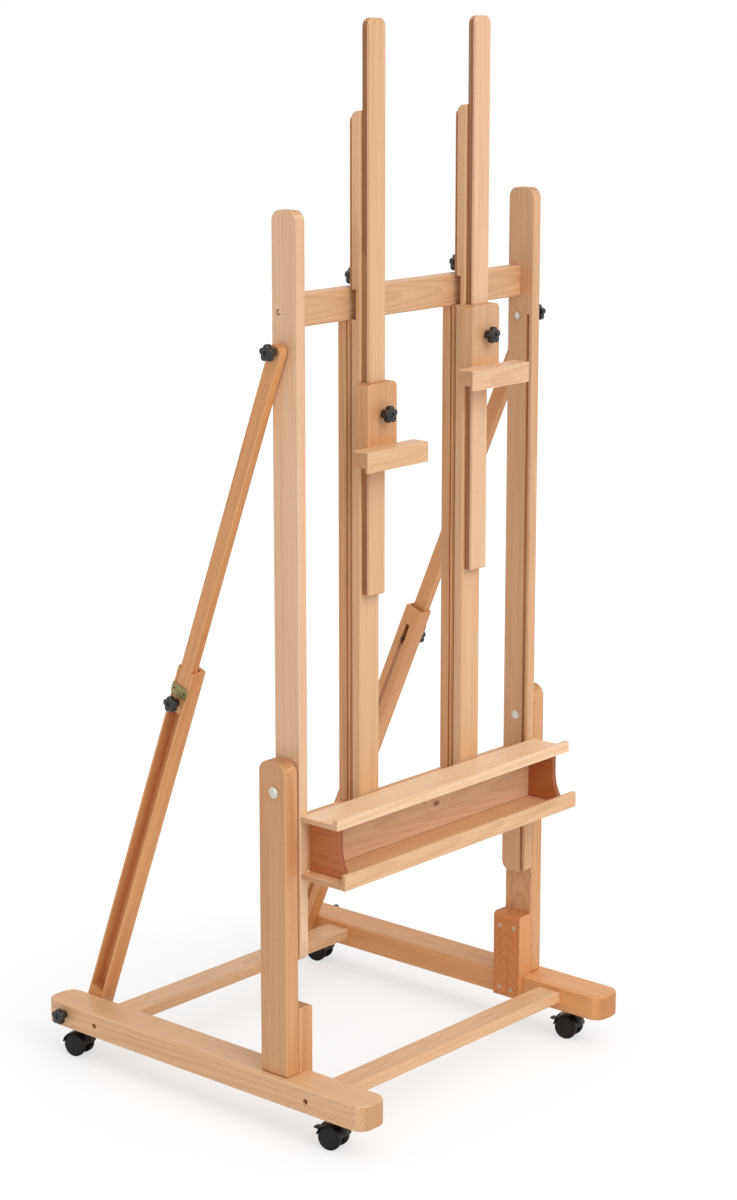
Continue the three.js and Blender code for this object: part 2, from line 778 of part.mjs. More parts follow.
// Runners behind the tray, each with a tongue in the groove of a side board
function runnerGeometry() {
  const body = planProfile(evenOutline(-runnerWidth, 0, 0, runnerDepth, fineCorner), trayWallHeight);
  const tongueFront = guideGrooveSetback + trayGap - seatGap + slideGap;
  const tongueRear = tongueFront + guideGrooveWidth - 2 * slideGap;
  const tongue = boxBetween(-overrun, runnerTongueReach, tongueFront, tongueRear, 0, trayWallHeight);
  return join(body, tongue);
}

add(model, 'canvas_rest', canvasRestGeometry(), paleBeech, 0, trayRearY, restHeight);
add(model, 'tray_floor', trayFloorGeometry(), beech, 0, trayRearY, trayBottomHeight);
add(model, 'tray_front_lip', trayFrontLipGeometry(), beech, 0, trayLipRearY, trayBottomHeight);
add(model, 'tray_back', trayBackGeometry(), darkBeech, 0, trayRearY - trayBackSetback, trayWallZ);
addPair('tray_end', trayEndGeometry(), darkBeech, trayEndX, trayRearY, trayWallZ);
addPair('tray_runner', runnerGeometry(), beech, boardInnerX - seatGap, trayRearY + seatGap, trayWallZ);

// Struts, in a frame whose z runs from the foot pivot to the head pivot, and whose x points outwards and is 0
// on the outer face. The pivot bores lie level, across the leaning strut.
function strutBore(diameter) {
  const reach = channelDepth + overrun;
  return rodAlongX(-reach, reach, diameter).rotateY(-strutLean);
}

function channelGeometry() {
  const half = channelWidth / 2;
  const side = roundEnded(channelWidth, -half, channelLength, true, false, fineCorner);
  const body = sideProfile(side, channelDepth, fineEase, 1).translate(-channelDepth, 0, 0);
  const trough = boxBetween(
    channelWeb - channelDepth,
    overrun,
    channelFlange - half,
    half - channelFlange,
    channelHeel,
    channelLength + overrun,
  );
  const slot = boxBetween(
    -channelDepth - overrun,
    overrun,
    -channelSlotWidth / 2,
    channelSlotWidth / 2,
    channelSlotStart,
    channelLength - channelSlotTopInset,
  );
  const pivot = strutBore(studDiameter + 2 * pivotGap);
  return cut(body, trough, slot, pivot);
}

function armGeometry() {
  const half = armWidth / 2;
  const side = roundEnded(armWidth, armEnd, strutLength + half, false, true, fineCorner);
  const body = sideProfile(side, armThickness, fineEase, 1).translate(-armThickness - armRecess, 0, 0);
  const head = strutBore(studDiameter + 2 * pivotGap).translate(0, 0, strutLength);
  const lock = rodAlongX(-channelDepth, overrun, lockBoltDiameter + 2 * boltGap).translate(0, 0, lockBoltAt);
  return cut(body, head, lock);
}

function strapGeometry() {
  const half = channelWidth / 2;
  const centre = channelLength - strapBelowTop;
  const side = evenOutline(-half, half, centre - strapHeight / 2, centre + strapHeight / 2, fineCorner);
  return sideProfile(side, strapThickness).translate(seatGap, 0, 0);
}

const lockStudLength = channelDepth - armRecess + 2 * seatGap + lockBoltPlay;
const lockKnobX = seatGap - armRecess;

for (const [side, sign] of [['right', 1], ['left', -1]]) {
  const strut = new THREE.Group();
  const foot = new THREE.Vector3(sign * footPivot.x, footPivot.y, footPivot.z);
  const head = new THREE.Vector3(sign * headPivot.x, headPivot.y, headPivot.z);
  const along = head.clone().sub(foot).normalize();
  const across = new THREE.Vector3(1, 0, 0).projectOnPlane(along).normalize();
  const back = along.clone().cross(across);
  strut.position.copy(foot);
  strut.setRotationFromMatrix(new THREE.Matrix4().makeBasis(across, back, along));
  model.add(strut);

  const sided = (geometry) => (sign > 0 ? geometry : mirrored(geometry));
  add(strut, `strut_channel_${side}`, sided(channelGeometry()), darkBeech);
  add(strut, `strut_arm_${side}`, sided(armGeometry()), beech);
  add(strut, `strut_strap_${side}`, sided(strapGeometry()), brass);
  const lock = studKnob(lockStudLength, lockBoltDiameter, boltHeadDiameter, boltHeadThickness);
  lock.translate(lockKnobX, 0, lockBoltAt);
  add(strut, `strut_lock_knob_${side}`, sided(lock), blackPlastic);
}

// Head bolts through the side boards, with a collar that carries the arm, and the knobs screwed onto them
const headKnobX = headPivot.x - armRecess + 2 * seatGap;
const headBoltEndX = headKnobX + knobHubLength - overrun;

function headBoltGeometry() {
  const radius = studDiameter / 2;
  const armInnerX = headPivot.x - armRecess - armThickness;
  const headFace = boardInnerX - seatGap;
  return turnedAlongX([
    [headFace - boltHeadThickness, 0],
    [headFace - boltHeadThickness, boltHeadDiameter / 4],
    [headFace - boltHeadThickness / 2, boltHeadDiameter / 2],
    [headFace, boltHeadDiameter / 2],
    [headFace, radius],
    [boardOuterX + seatGap, radius],
    [boardOuterX + seatGap, collarDiameter / 2],
    [armInnerX - 2 * seatGap, collarDiameter / 2],
    [armInnerX - 2 * seatGap, radius],
    [headBoltEndX, radius],
    [headBoltEndX, 0],
  ]);
}

function headKnobGeometry() {
  return cut(starHead(), rodAlongX(-overrun, knobHubLength, studDiameter + 2 * boltGap));
}

addPair('strut_head_bolt', headBoltGeometry(), steel, 0, headPivot.y, headPivot.z);
addPair('strut_head_knob', headKnobGeometry(), blackPlastic, headKnobX, headPivot.y, headPivot.z);

// Foot knobs: their studs run through the feet and carry the heels of the channels
const footStudLength = footWidth + strutFootGap + channelDepth - overrun;
const footKnob = studKnob(footStudLength, studDiameter);
addPair('strut_foot_knob', footKnob, blackPlastic, footOuterX + seatGap, footPivot.y, footPivot.z);

// Casters, in a frame whose origin is on the floor under the stem and whose x axis is the trailing direction
const wheelRadius = wheelDiameter / 2;
const wheelInner = hoodWeb / 2 + wheelGap;
const wheelOuter = wheelInner + wheelWidth;
const hoodInnerRadius = wheelRadius + wheelGap;
const hoodRadius = hoodInnerRadius + hoodShell;

function hoodGeometry() {
  const reach = wheelOuter + wheelGap;
  const arc = new THREE.Shape();
  const edge = Math.asin(hoodRise / hoodRadius);
  arc.absarc(0, 0, hoodRadius, edge, Math.PI - edge, false);
  arc.closePath();
  const shell = frontProfile(arc, 2 * reach).translate(casterTrail, reach, wheelRadius);
  const webHalf = hoodWeb / 2;
  const bossLow = wheelRadius + hoodRise;
  const web = frontProfile(
    evenOutline(-bossDiameter / 2, casterTrail + axleDiameter, wheelRadius - axleDiameter, bossLow),
    hoodWeb,
  ).translate(0, webHalf, 0);
  const wells = [[webHalf, reach + overrun], [-reach - overrun, -webHalf]].map(([from, to]) => (
    rodAlongY(from, to, 2 * hoodInnerRadius, hoodSteps).translate(casterTrail, 0, wheelRadius)
  ));
  const axleBore = rodAlongY(-reach, reach, axleDiameter + 2 * boltGap).translate(casterTrail, 0, wheelRadius);
  const flangeTop = casterHeight - seatGap;
  const boss = rodAlongZ(bossLow, flangeTop - flangeThickness, bossDiameter);
  const flange = rodAlongZ(flangeTop - flangeThickness, flangeTop, flangeDiameter);
  const stem = rodAlongZ(flangeTop - flangeThickness, casterHeight + stemLength, stemDiameter);
  const hood = cut(join(shell, web), ...wells, axleBore);
  return join(hood, cut(boss, ...wells), flange, stem);
}

// Twin wheels and their axle, turned in one about y
function wheelsGeometry() {
  const radius = wheelRadius;
  const rim = radius - wheelEdge;
  const hub = wheelHubDiameter / 2;
  const half = [
    [wheelInner, axleDiameter / 2],
    [wheelInner, rim],
    [wheelInner + wheelEdge, radius],
    [wheelOuter - wheelEdge, radius],
    [wheelOuter, rim],
    [wheelOuter, hub],
    [wheelOuter - wheelHubRecess, hub - wheelHubRecess],
    [wheelOuter - wheelHubRecess, 0],
  ];
  const other = half.map(([along, reach]) => [-along, reach]).reverse();
  return turnedAlongX([...other, ...half], wheelSteps).rotateZ(Math.PI / 2);
}

// Brake pedal: a curved plate over the trailing side of the hood with a straight tip
function brakeGeometry() {
  const inner = hoodRadius + wheelGap;
  const outer = inner + brakeThickness;
  const shape = new THREE.Shape();
  shape.absarc(0, 0, inner, brakeEnd, brakeStart, true);
  shape.lineTo((outer + brakeTipLength) * Math.cos(brakeStart), inner * Math.sin(brakeStart));
  shape.lineTo((outer + brakeTipLength) * Math.cos(brakeStart), inner * Math.sin(brakeStart) + brakeThickness);
  shape.absarc(0, 0, outer, brakeStart + brakeThickness / outer, brakeEnd, false);
  shape.closePath();
  return frontProfile(shape, brakeWidth).translate(0, brakeWidth / 2, 0);
}

const corners = [
  { name: 'front_left', x: -1, y: frontY + casterFrontSetback, braked: true },
  { name: 'front_right', x: 1, y: frontY + casterFrontSetback, braked: true },
  { name: 'rear_left', x: -1, y: rearY - casterRearSetback, braked: false },
  { name: 'rear_right', x: 1, y: rearY - casterRearSetback, braked: false },
];
for (const { name, x, y, braked } of corners) {
  const caster = new THREE.Group();
  caster.position.set(x * (footInnerX + footWidth / 2), y, 0);
  caster.rotation.z = casterTrailAngle;
  model.add(caster);
  add(caster, `caster_hood_${name}`, hoodGeometry(), blackPlastic);
  add(caster, `caster_wheels_${name}`, wheelsGeometry(), rubber, casterTrail, 0, wheelRadius);
  if (braked) add(caster, `caster_brake_${name}`, brakeGeometry(), blackPlastic, casterTrail, 0, wheelRadius);
}

export default model;
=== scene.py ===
"""Looks of a wheeled wooden studio easel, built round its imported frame.

The boards are the frame's own solids with a beech finish that follows each board's grain.
The star knobs, casters, straps' screws and bolt heads are finer pieces worked out here.
Lengths are in metres.
"""

import sys
import logging
import math
from dataclasses import dataclass
from enum import Enum
from typing import Any, Callable, Dict, List, Optional, Sequence, Tuple, Union

import bmesh
import bpy
import numpy as np
from mathutils import Matrix, Vector


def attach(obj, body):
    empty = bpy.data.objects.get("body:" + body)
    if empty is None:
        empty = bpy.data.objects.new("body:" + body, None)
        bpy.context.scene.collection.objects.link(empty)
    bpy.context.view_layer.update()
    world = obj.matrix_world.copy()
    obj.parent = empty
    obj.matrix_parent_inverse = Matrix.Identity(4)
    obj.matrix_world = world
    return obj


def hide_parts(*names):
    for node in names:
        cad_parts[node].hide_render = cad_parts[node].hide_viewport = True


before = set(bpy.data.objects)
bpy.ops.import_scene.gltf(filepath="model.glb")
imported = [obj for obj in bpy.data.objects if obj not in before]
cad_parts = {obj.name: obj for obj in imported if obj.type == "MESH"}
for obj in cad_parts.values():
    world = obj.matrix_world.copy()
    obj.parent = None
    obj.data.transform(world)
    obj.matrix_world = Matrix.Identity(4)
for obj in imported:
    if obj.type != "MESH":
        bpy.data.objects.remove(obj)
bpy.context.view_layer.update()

LOG = logging.getLogger("easel")

Vec3 = Tuple[float, float, float]
Colour = Tuple[float, float, float, float]
Number = Union[float, "Link"]
Pair = Tuple[float, float]

MM = 0.001
SAME_POINT = 2e-7
UP: Vec3 = (0.0, 0.0, 1.0)
WHITE: Colour = (1.0, 1.0, 1.0, 1.0)
SIDES: Tuple[Tuple[str, float], ...] = (("left", -1.0), ("right", 1.0))


def srgb(*display: int) -> Colour:
    """Turns a display colour into the linear colour that shaders take.

    Args:
        display: its red, green and blue, from 0 to 255.

    Returns:
        The linear colour with full opacity.
    """
    parts = np.array(display) / 255
    linear = np.where(parts <= 0.04045, parts / 12.92, ((parts + 0.055) / 1.055) ** 2.4)
    return (float(linear[0]), float(linear[1]), float(linear[2]), 1.0)


def unit(vector: Sequence[float]) -> np.ndarray:
    """Returns the vector scaled to length one."""
    array = np.asarray(vector, float)
    return array / np.linalg.norm(array)


def operator(operation: str, swapped: bool = False) -> Callable[..., "Link"]:
    """Makes a method of Link that adds one Math node.

    Args:
        operation: the node's operation.
        swapped: whether the other value comes first.

    Returns:
        The method.
    """

    def method(link: "Link", other: Number = 0.0) -> "Link":
        """Adds the node to the link's tree."""
        first, second = (other, link) if swapped else (link, other)
        return link.shader.node("ShaderNodeMath", {"operation": operation}, {0: first, 1: second})

    return method


class Link:
    """An output socket that can be used in plain sums; each sum adds its Math node."""

    __add__ = operator("ADD")
    __radd__ = operator("ADD", swapped=True)
    __sub__ = operator("SUBTRACT")
    __rsub__ = operator("SUBTRACT", swapped=True)
    __mul__ = operator("MULTIPLY")
    __truediv__ = operator("DIVIDE")
    __abs__ = operator("ABSOLUTE")
    root = operator("SQRT")
    part = operator("FRACT")
    least = operator("MINIMUM")
    most = operator("MAXIMUM")

    def __init__(self, shader: "Shader", socket: bpy.types.NodeSocket) -> None:
        """Keeps the shader tree and the socket."""
        self.shader = shader
        self.socket = socket

    def fade(self, low: float, high: float) -> "Link":
        """Smooth step between two values.

        Args:
            low: value at which the step is 0.
            high: value at which the step is 1.

        Returns:
            The step, from 0 to 1.
        """
        values = {"Value": self, "From Min": low, "From Max": high}
        return self.shader.node("ShaderNodeMapRange", {"interpolation_type": "SMOOTHSTEP"}, values)


class Shader:
    """A node tree that is filled through one method for any kind of node."""

    def __init__(self, tree: bpy.types.NodeTree) -> None:
        """Empties the tree and keeps it."""
        tree.nodes.clear()
        self.tree = tree

    def node(self, kind: str, settings: Optional[Dict[str, Any]] = None,
             values: Optional[Dict[Union[int, str], Any]] = None, out: Union[int, str] = 0) -> Link:
        """Adds a node of any kind.

        Args:
            kind: the node's type.
            settings: the node's own settings, set before its sockets.
            values: a value or a link for each socket that isn't left as it is.
            out: the output that is wanted.

        Returns:
            The wanted output.
        """
        made = self.tree.nodes.new(kind)
        for name, value in (settings or {}).items():
            setattr(made, name, value)
        for name, value in (values or {}).items():
            if isinstance(value, Link):
                self.tree.links.new(value.socket, made.inputs[name])
            else:
                made.inputs[name].default_value = value
        has_output = len(made.outputs) > 0
        return Link(self, made.outputs[out] if has_output else made.inputs[0])

    def coordinates(self, kind: str = "Object") -> Link:
        """The point in the object's own coordinates, or its normal."""
        return self.node("ShaderNodeTexCoord", {}, {}, kind)

    def vector(self, operation: str, first: Any, second: Any, out: int = 0) -> Link:
        """Adds a Vector Math node.

        Args:
            operation: the node's operation.
            first: the first vector.
            second: the second vector.
            out: 0 for the vector and 1 for the number.

        Returns:
            The wanted output.
        """
        return self.node("ShaderNodeVectorMath", {"operation": operation}, {0: first, 1: second}, out)

    def mix(self, share: Number, first: Any, second: Any) -> Link:
        """Mixes two colours.

        Args:
            share: how much of the second colour shows.
            first: colour at share 0.
            second: colour at share 1.

        Returns:
            The mixed colour.
        """
        return self.node("ShaderNodeMix", {"data_type": "RGBA"}, {0: share, 6: first, 7: second}, 2)

    def noise(self, place: Link, scales: Vec3, detail: float = 2.0, rough: float = 0.5) -> Link:
        """Noise that may be stretched along an axis.

        Args:
            place: the point.
            scales: noise cells per metre along each axis.
            detail: the noise's octaves.
            rough: weight of the finer octaves.

        Returns:
            The noise, from 0 to 1.
        """
        spread = self.vector("MULTIPLY", place, scales)
        values = {"Vector": spread, "Scale": 1.0, "Detail": detail, "Roughness": rough}
        return self.node("ShaderNodeTexNoise", {"noise_dimensions": "3D"}, values)

    def surface(self, values: Dict[str, Any], height: Link, relief: Pair) -> None:
        """Ends the tree with a Principled shader.

        Args:
            values: the shader's sockets, as values or links.
            height: the bump's height, from 0 to 1.
            relief: how strongly the bump shows, and the height of 1 in metres.
        """
        raised = {"Strength": relief[0], "Distance": relief[1], "Height": height}
        normal = self.node("ShaderNodeBump", {}, raised)
        body = self.node("ShaderNodeBsdfPrincipled", {}, {**values, "Normal": normal})
        self.node("ShaderNodeOutputMaterial", {}, {"Surface": body})


def new_material(name: str) -> Tuple[bpy.types.Material, Shader]:
    """Makes a material with an empty tree.

    Args:
        name: the material's name.

    Returns:
        The material and its shader.
    """
    material = bpy.data.materials.new(name)
    material.use_nodes = True
    return material, Shader(material.node_tree)


def dress(obj: bpy.types.Object, *materials: bpy.types.Material) -> None:
    """Gives an object its materials, and reports it.

    Args:
        obj: the object.
        materials: its materials, one for each slot.
    """
    obj.data.materials.clear()
    for material in materials:
        obj.data.materials.append(material)
    LOG.info("%s: %s", obj.name, ", ".join(material.name for material in materials))


def node_points(name: str) -> np.ndarray:
    """Reads the corners of a frame node.

    Args:
        name: the node.

    Returns:
        Rows of x, y and z.
    """
    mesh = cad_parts[name].data
    flat = np.empty(len(mesh.vertices) * 3, np.float32)
    mesh.vertices.foreach_get("co", flat)
    return flat.reshape(-1, 3).astype(float)


class Cut(Enum):
    """How a board was sawn: how deep and how far across its log's heart lies, and the log's taper."""

    QUARTER = (0.0, 0.115, 0.004)
    RIFT = (0.045, 0.062, 0.012)
    FLAT = (0.052, 0.006, 0.034)
    ARCHED = (0.037, 0.001, 0.21)
    WAVY = (0.04, 0.001, 0.12)


@dataclass(frozen=True)
class Beech:
    """Oiled beech: its colours and the size of its figure."""

    early: Colour
    late: Colour
    ray: Colour
    end: Colour
    ring_pitch: float = 5.8 * MM
    ring_share: float = 0.6
    ray_share: float = 0.5
    roughness: float = 0.38


class Wood(Enum):
    """Board tones, from the palest to the reddest; the darker ones on the tray's ends and the right side
    board partly paint the shade that falls there.
    """

    CREAM = Beech(srgb(239, 204, 165), srgb(216, 168, 122), srgb(190, 138, 94), srgb(196, 148, 104))
    PALE = Beech(srgb(233, 192, 154), srgb(206, 155, 113), srgb(181, 127, 86), srgb(190, 140, 98))
    SAND = Beech(srgb(221, 173, 129), srgb(189, 135, 90), srgb(163, 108, 68), srgb(176, 124, 80))
    HONEY = Beech(srgb(226, 181, 136), srgb(198, 144, 97), srgb(172, 116, 74), srgb(186, 135, 90))
    AMBER = Beech(srgb(217, 163, 113), srgb(183, 122, 74), srgb(158, 98, 57), srgb(168, 114, 70))
    GINGER = Beech(srgb(224, 163, 104), srgb(192, 120, 68), srgb(166, 98, 54), srgb(178, 118, 70))
    COPPER = Beech(srgb(212, 131, 68), srgb(168, 90, 40), srgb(140, 72, 33), srgb(190, 128, 78),
                   ring_share=0.5)
    UMBER = Beech(srgb(188, 110, 56), srgb(150, 80, 37), srgb(126, 66, 31), srgb(134, 75, 36),
                  ring_pitch=9 * MM, ring_share=0.4)


class Flank(Enum):
    """Faces of a board with painted shade or painted light: the axis they face, their colour and its share.
    """

    # Painted shade: the side faces, facing X, darker as in the shade beside the rail.
    SHADED = ((1.0, 0.0, 0.0), srgb(156, 99, 56), 1.0)
    # Painted light: the faces facing Y, lighter than the sides as where the light falls.
    SANDED = ((0.0, 1.0, 0.0), srgb(222, 162, 108), 0.7)


class Grain(Enum):
    """A board's noises: cells per metre along, across and through it, octaves, the finer ones' weight."""

    WANDER = ((1.1, 7.0, 7.0), 2.0)
    DRIFT = ((1.6, 18.0, 18.0), 2.0)
    STREAK = ((3.0, 190.0, 190.0), 3.0, 0.6)
    FIBRE = ((22.0, 1500.0, 1500.0), 2.0)
    RAY = ((260.0, 1700.0, 900.0), 1.0)


@dataclass(frozen=True)
class Figure:
    """Where the steps of the wood's figure lie, and how strongly each part of it shows."""

    ring_rise: Pair = (0.3, 0.94)
    ring_fall: Pair = (0.94, 1.0)
    ray_step: Pair = (0.6, 0.72)
    end_step: Pair = (0.55, 0.85)
    flank_step: Pair = (0.5, 0.95)
    wear_and_highlight_step: Pair = (0.35, 0.7)
    lit_worn_edge: Pair = (0.4 * MM, 3.2 * MM)
    wander: float = 16 * MM
    ring_base: float = 0.2
    ring_drift: float = 0.9
    streak_from: float = 0.47
    streak: float = 2.2
    drift_from: float = 0.5
    drift: float = 1.1
    fibre: float = 0.14
    end: float = 0.62
    end_rings: float = 0.35
    wear_and_highlight: float = 0.35
    relief: Pair = (0.32, 0.5 * MM)


@dataclass(frozen=True)
class Knot:
    """A knot: its middle and core, the reach and depth of the rings' bend round it, and its colour."""

    spot: Vec3
    core: Pair = (2.5 * MM, 7.5 * MM)
    reach: float = 30 * MM
    bend: float = 11 * MM
    stretch: float = 0.55
    colour: Colour = srgb(112, 62, 34)
    share: float = 0.8


@dataclass(frozen=True)
class BoardFrame:
    """A board's own axes, with its middle and half its size along each of them."""

    axes: np.ndarray
    middle: np.ndarray
    half: np.ndarray

    @classmethod
    def of(cls, node: str, along: Optional[Vec3] = None) -> "BoardFrame":
        """Reads a board's axes from its corners.

        Args:
            node: the frame node.
            along: the grain's direction, where it isn't the box's longest side.

        Returns:
            The board's frame: the rows of axes are along, across and through the board.
        """
        points = node_points(node)
        if along is None:
            axes = np.eye(3)[np.argsort(-np.ptp(points, axis=0), kind="stable")]
        else:
            grain = unit(along)
            side = np.array((1.0, 0.0, 0.0) if abs(grain[0]) < 0.9 else (0.0, 1.0, 0.0))
            through = unit(side - side.dot(grain) * grain)
            axes = np.array([grain, np.cross(through, grain), through])
        if np.linalg.det(axes) < 0:
            axes[2] = -axes[2]
        local = points @ axes.T
        low, high = local.min(0), local.max(0)
        return cls(axes, (low + high) / 2, (high - low) / 2)


@dataclass
class Board:
    """One wooden node of the frame and how its timber looks."""

    node: str
    wood: Wood
    cut: Cut = Cut.RIFT
    along: Optional[Vec3] = None
    knot: Optional[Knot] = None
    arch: int = 0
    flank: Optional[Flank] = None
    figure: Figure = Figure()
    shift: Vec3 = (1.37, 0.613, 0.291)

    def material(self, number: int) -> bpy.types.Material:
        """Builds the board's beech.

        Fibres, rays and streaks are noise drawn out along the grain. An edge is lightened, part as wear and
        part as a painted highlight, where the second smallest distance to the sides is small. The faces
        along a flank's axis get painted shade or painted light.

        Args:
            number: the board's place in the list, which moves its pattern.

        Returns:
            The material.
        """
        beech: Beech = self.wood.value
        figure = self.figure
        place = BoardFrame.of(self.node, self.along)
        material, shader = new_material(f"beech_{self.node}")
        turn = tuple(Matrix(place.axes.tolist()).to_euler("XYZ"))
        values = {"Vector": shader.coordinates(), "Location": tuple(-place.middle), "Rotation": turn}
        local = shader.node("ShaderNodeMapping", {"vector_type": "POINT"}, values)
        moved = shader.vector("ADD", local, tuple(step * number for step in self.shift))
        split = shader.node("ShaderNodeSeparateXYZ", {}, {0: local}).socket.node.outputs
        along, across, deep = (Link(shader, split[i]) for i in range(3))
        wander, drift, streak, fibre, ray = (shader.noise(moved, *grain.value) for grain in Grain)
        ray = ray.fade(*figure.ray_step)
        knot = self.knot_distance(place, along, across)
        late = self.late_wood(number, (along, across, deep), wander, knot)

        normal = shader.coordinates("Normal")
        end = abs(shader.vector("DOT_PRODUCT", normal, tuple(place.axes[0]), 1)).fade(*figure.end_step)
        gaps = [float(place.half[i]) - abs(axis) for i, axis in enumerate((along, across, deep))]
        second = gaps[1].least(gaps[2]).most(gaps[1].most(gaps[2]).least(gaps[0]))
        edge = 1 - second.fade(*figure.lit_worn_edge)

        rings = late * (drift * figure.ring_drift + figure.ring_base) * beech.ring_share
        colour = shader.mix(rings, beech.early, beech.late)
        for noise, start, share in ((streak, figure.streak_from, figure.streak),
                                    (drift, figure.drift_from, figure.drift)):
            colour = shader.mix((noise - start).most(0.0) * share, colour, beech.late)
        colour = shader.mix(ray * beech.ray_share, colour, beech.ray)
        colour = shader.mix(fibre * figure.fibre, colour, beech.early)
        # Painted shade or painted light on the faces that face the flank's axis.
        if self.flank is not None:
            axis, tone, share = self.flank.value
            sideways = abs(shader.vector("DOT_PRODUCT", normal, axis, 1)).fade(*figure.flank_step)
            colour = shader.mix(sideways * share * (1.1 - late * 0.4).least(1.0), colour, tone)
        colour = shader.mix(end * figure.end, colour, beech.end)
        colour = shader.mix(end * late * figure.end_rings, colour, beech.ray)
        # Edges lightened towards cream: part rubbed wear, part painted highlight.
        wear_and_highlight_share = edge * streak.fade(*figure.wear_and_highlight_step) * figure.wear_and_highlight
        colour = shader.mix(wear_and_highlight_share, colour, Wood.CREAM.value.early)
        if knot is not None:
            brown = (1 - knot.fade(*self.knot.core)) * self.knot.share
            colour = shader.mix(brown, colour, self.knot.colour)
        rough = beech.roughness + fibre * 0.12 + end * 0.16 - edge * 0.05
        height = fibre * 0.45 + streak * 0.35 - ray * 0.3 - late * 0.2
        shader.surface({"Base Color": colour, "Roughness": rough}, height, figure.relief)
        return material

    def knot_distance(self, place: BoardFrame, along: Link, across: Link) -> Optional[Link]:
        """Measures how far a point is from the knot, which is drawn out along the grain.

        Args:
            place: the board's own axes.
            along: the point along the board.
            across: the point across the board.

        Returns:
            The distance, or None where the board has no knot.
        """
        if self.knot is None:
            return None
        spot = place.axes @ np.array(self.knot.spot) - place.middle
        aside = (along - float(spot[0])) * self.knot.stretch
        up = across - float(spot[1])
        return (aside * aside + up * up).root()

    def late_wood(self, number: int, point: Sequence[Link], wander: Link, knot: Optional[Link]) -> Link:
        """Lays out the rings.

        A ring is where the distance from the log's heart, with a slow wander, the log's taper and
        the bend round a knot added, passes a multiple of the ring pitch.

        Args:
            number: the board's place in the list, which turns it over.
            point: the point along, across and through the board.
            wander: the slow noise.
            knot: the distance from the knot, if there is one.

        Returns:
            1 in the late wood at the end of a ring, 0 in the early wood.
        """
        along, across, deep = point
        heart_deep, heart_across, taper = self.cut.value
        side = 1 if number % 2 else -1
        beside, behind = across - side * heart_across, deep - side * heart_deep
        distance = (beside * beside + behind * behind).root() + (wander - 0.5) * self.figure.wander
        distance = distance + along * (taper * (self.arch or side))
        if knot is not None:
            distance = distance + (1 - knot.fade(0.0, self.knot.reach)) * self.knot.bend
        ring = (distance / self.wood.value.ring_pitch).part()
        return ring.fade(*self.figure.ring_rise) * (1 - ring.fade(*self.figure.ring_fall))

    def finish(self, number: int) -> None:
        """Dresses the node.

        Args:
            number: the board's place in the list.
        """
        dress(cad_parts[self.node], self.material(number))


@dataclass(frozen=True)
class Moulded:
    """Moulded plastic: its colour and gloss, its grain, and the smears that hands and dust left."""

    name: str
    colour: Colour
    stain: Colour
    roughness: float
    grain: Vec3 = (2600.0, 2600.0, 2600.0)
    shine: float = 0.5
    metallic: float = 0.0
    octaves: float = 2.0
    smear: float = 90.0
    stain_step: Pair = (0.45, 0.8)
    stain_share: float = 0.5
    uneven: float = 0.2
    relief: Pair = (0.18, 0.2 * MM)

    def material(self) -> bpy.types.Material:
        """Builds the finish from a fine noise for grain and a broad one for stains.

        Returns:
            The material.
        """
        material, shader = new_material(self.name)
        place = shader.coordinates()
        fine = shader.noise(place, self.grain, self.octaves)
        broad = shader.noise(place, (self.smear,) * 3, 3.0)
        stained = broad.fade(*self.stain_step) * self.stain_share
        values = {
            "Base Color": shader.mix(stained, self.colour, self.stain),
            "Metallic": self.metallic,
            "Specular IOR Level": self.shine,
            "Roughness": self.roughness + (broad - 0.5) * self.uneven + (fine - 0.5) * 0.1,
        }
        shader.surface(values, fine, self.relief)
        return material


@dataclass(frozen=True)
class Metal(Moulded):
    """Plated or passivated metal: cloudy plating, fine scratches and a dull bloom."""

    grain: Vec3 = (300.0, 4000.0, 4000.0)
    metallic: float = 1.0
    octaves: float = 1.0
    smear: float = 240.0
    stain_step: Pair = (0.35, 0.75)
    stain_share: float = 0.7
    uneven: float = 0.25
    relief: Pair = (0.12, 0.1 * MM)


KNOB = Moulded("knob_plastic", srgb(15, 15, 16), srgb(30, 29, 28), 0.24, shine=0.6).material()
# The knob's flat face in a lighter grey than its plastic: painted light on the face.
PAINTED_LIGHT_FACE = Moulded("knob_face_painted_light", srgb(62, 62, 61), srgb(86, 85, 82), 0.26, shine=1.0).material()
CASTER = Moulded("caster_plastic", srgb(18, 16, 15), srgb(30, 27, 25), 0.33, (2200.0,) * 3, 0.35).material()
WHEEL = Moulded("wheel_plastic", srgb(19, 16, 14), srgb(31, 27, 24), 0.46, (1500.0,) * 3, 0.3).material()
# Near-black for the pits of knobs and the sockets of screws and bolts: painted shade in their hollows.
PAINTED_SHADE_BLACK = Moulded("painted_socket_shade", srgb(12, 11, 11), srgb(20, 19, 18), 0.6, (1800.0,) * 3).material()
STEEL = Metal("zinc_steel", srgb(224, 221, 212), srgb(170, 165, 154), 0.35).material()
SCREW = Metal("worn_nickel", srgb(206, 198, 178), srgb(124, 112, 90), 0.39).material()
BOLT = Metal("dark_bolt", srgb(92, 84, 74), srgb(50, 42, 34), 0.47).material()
STRAP = Metal("passivated_strap", srgb(166, 152, 102), srgb(104, 92, 56), 0.45, metallic=0.65).material()


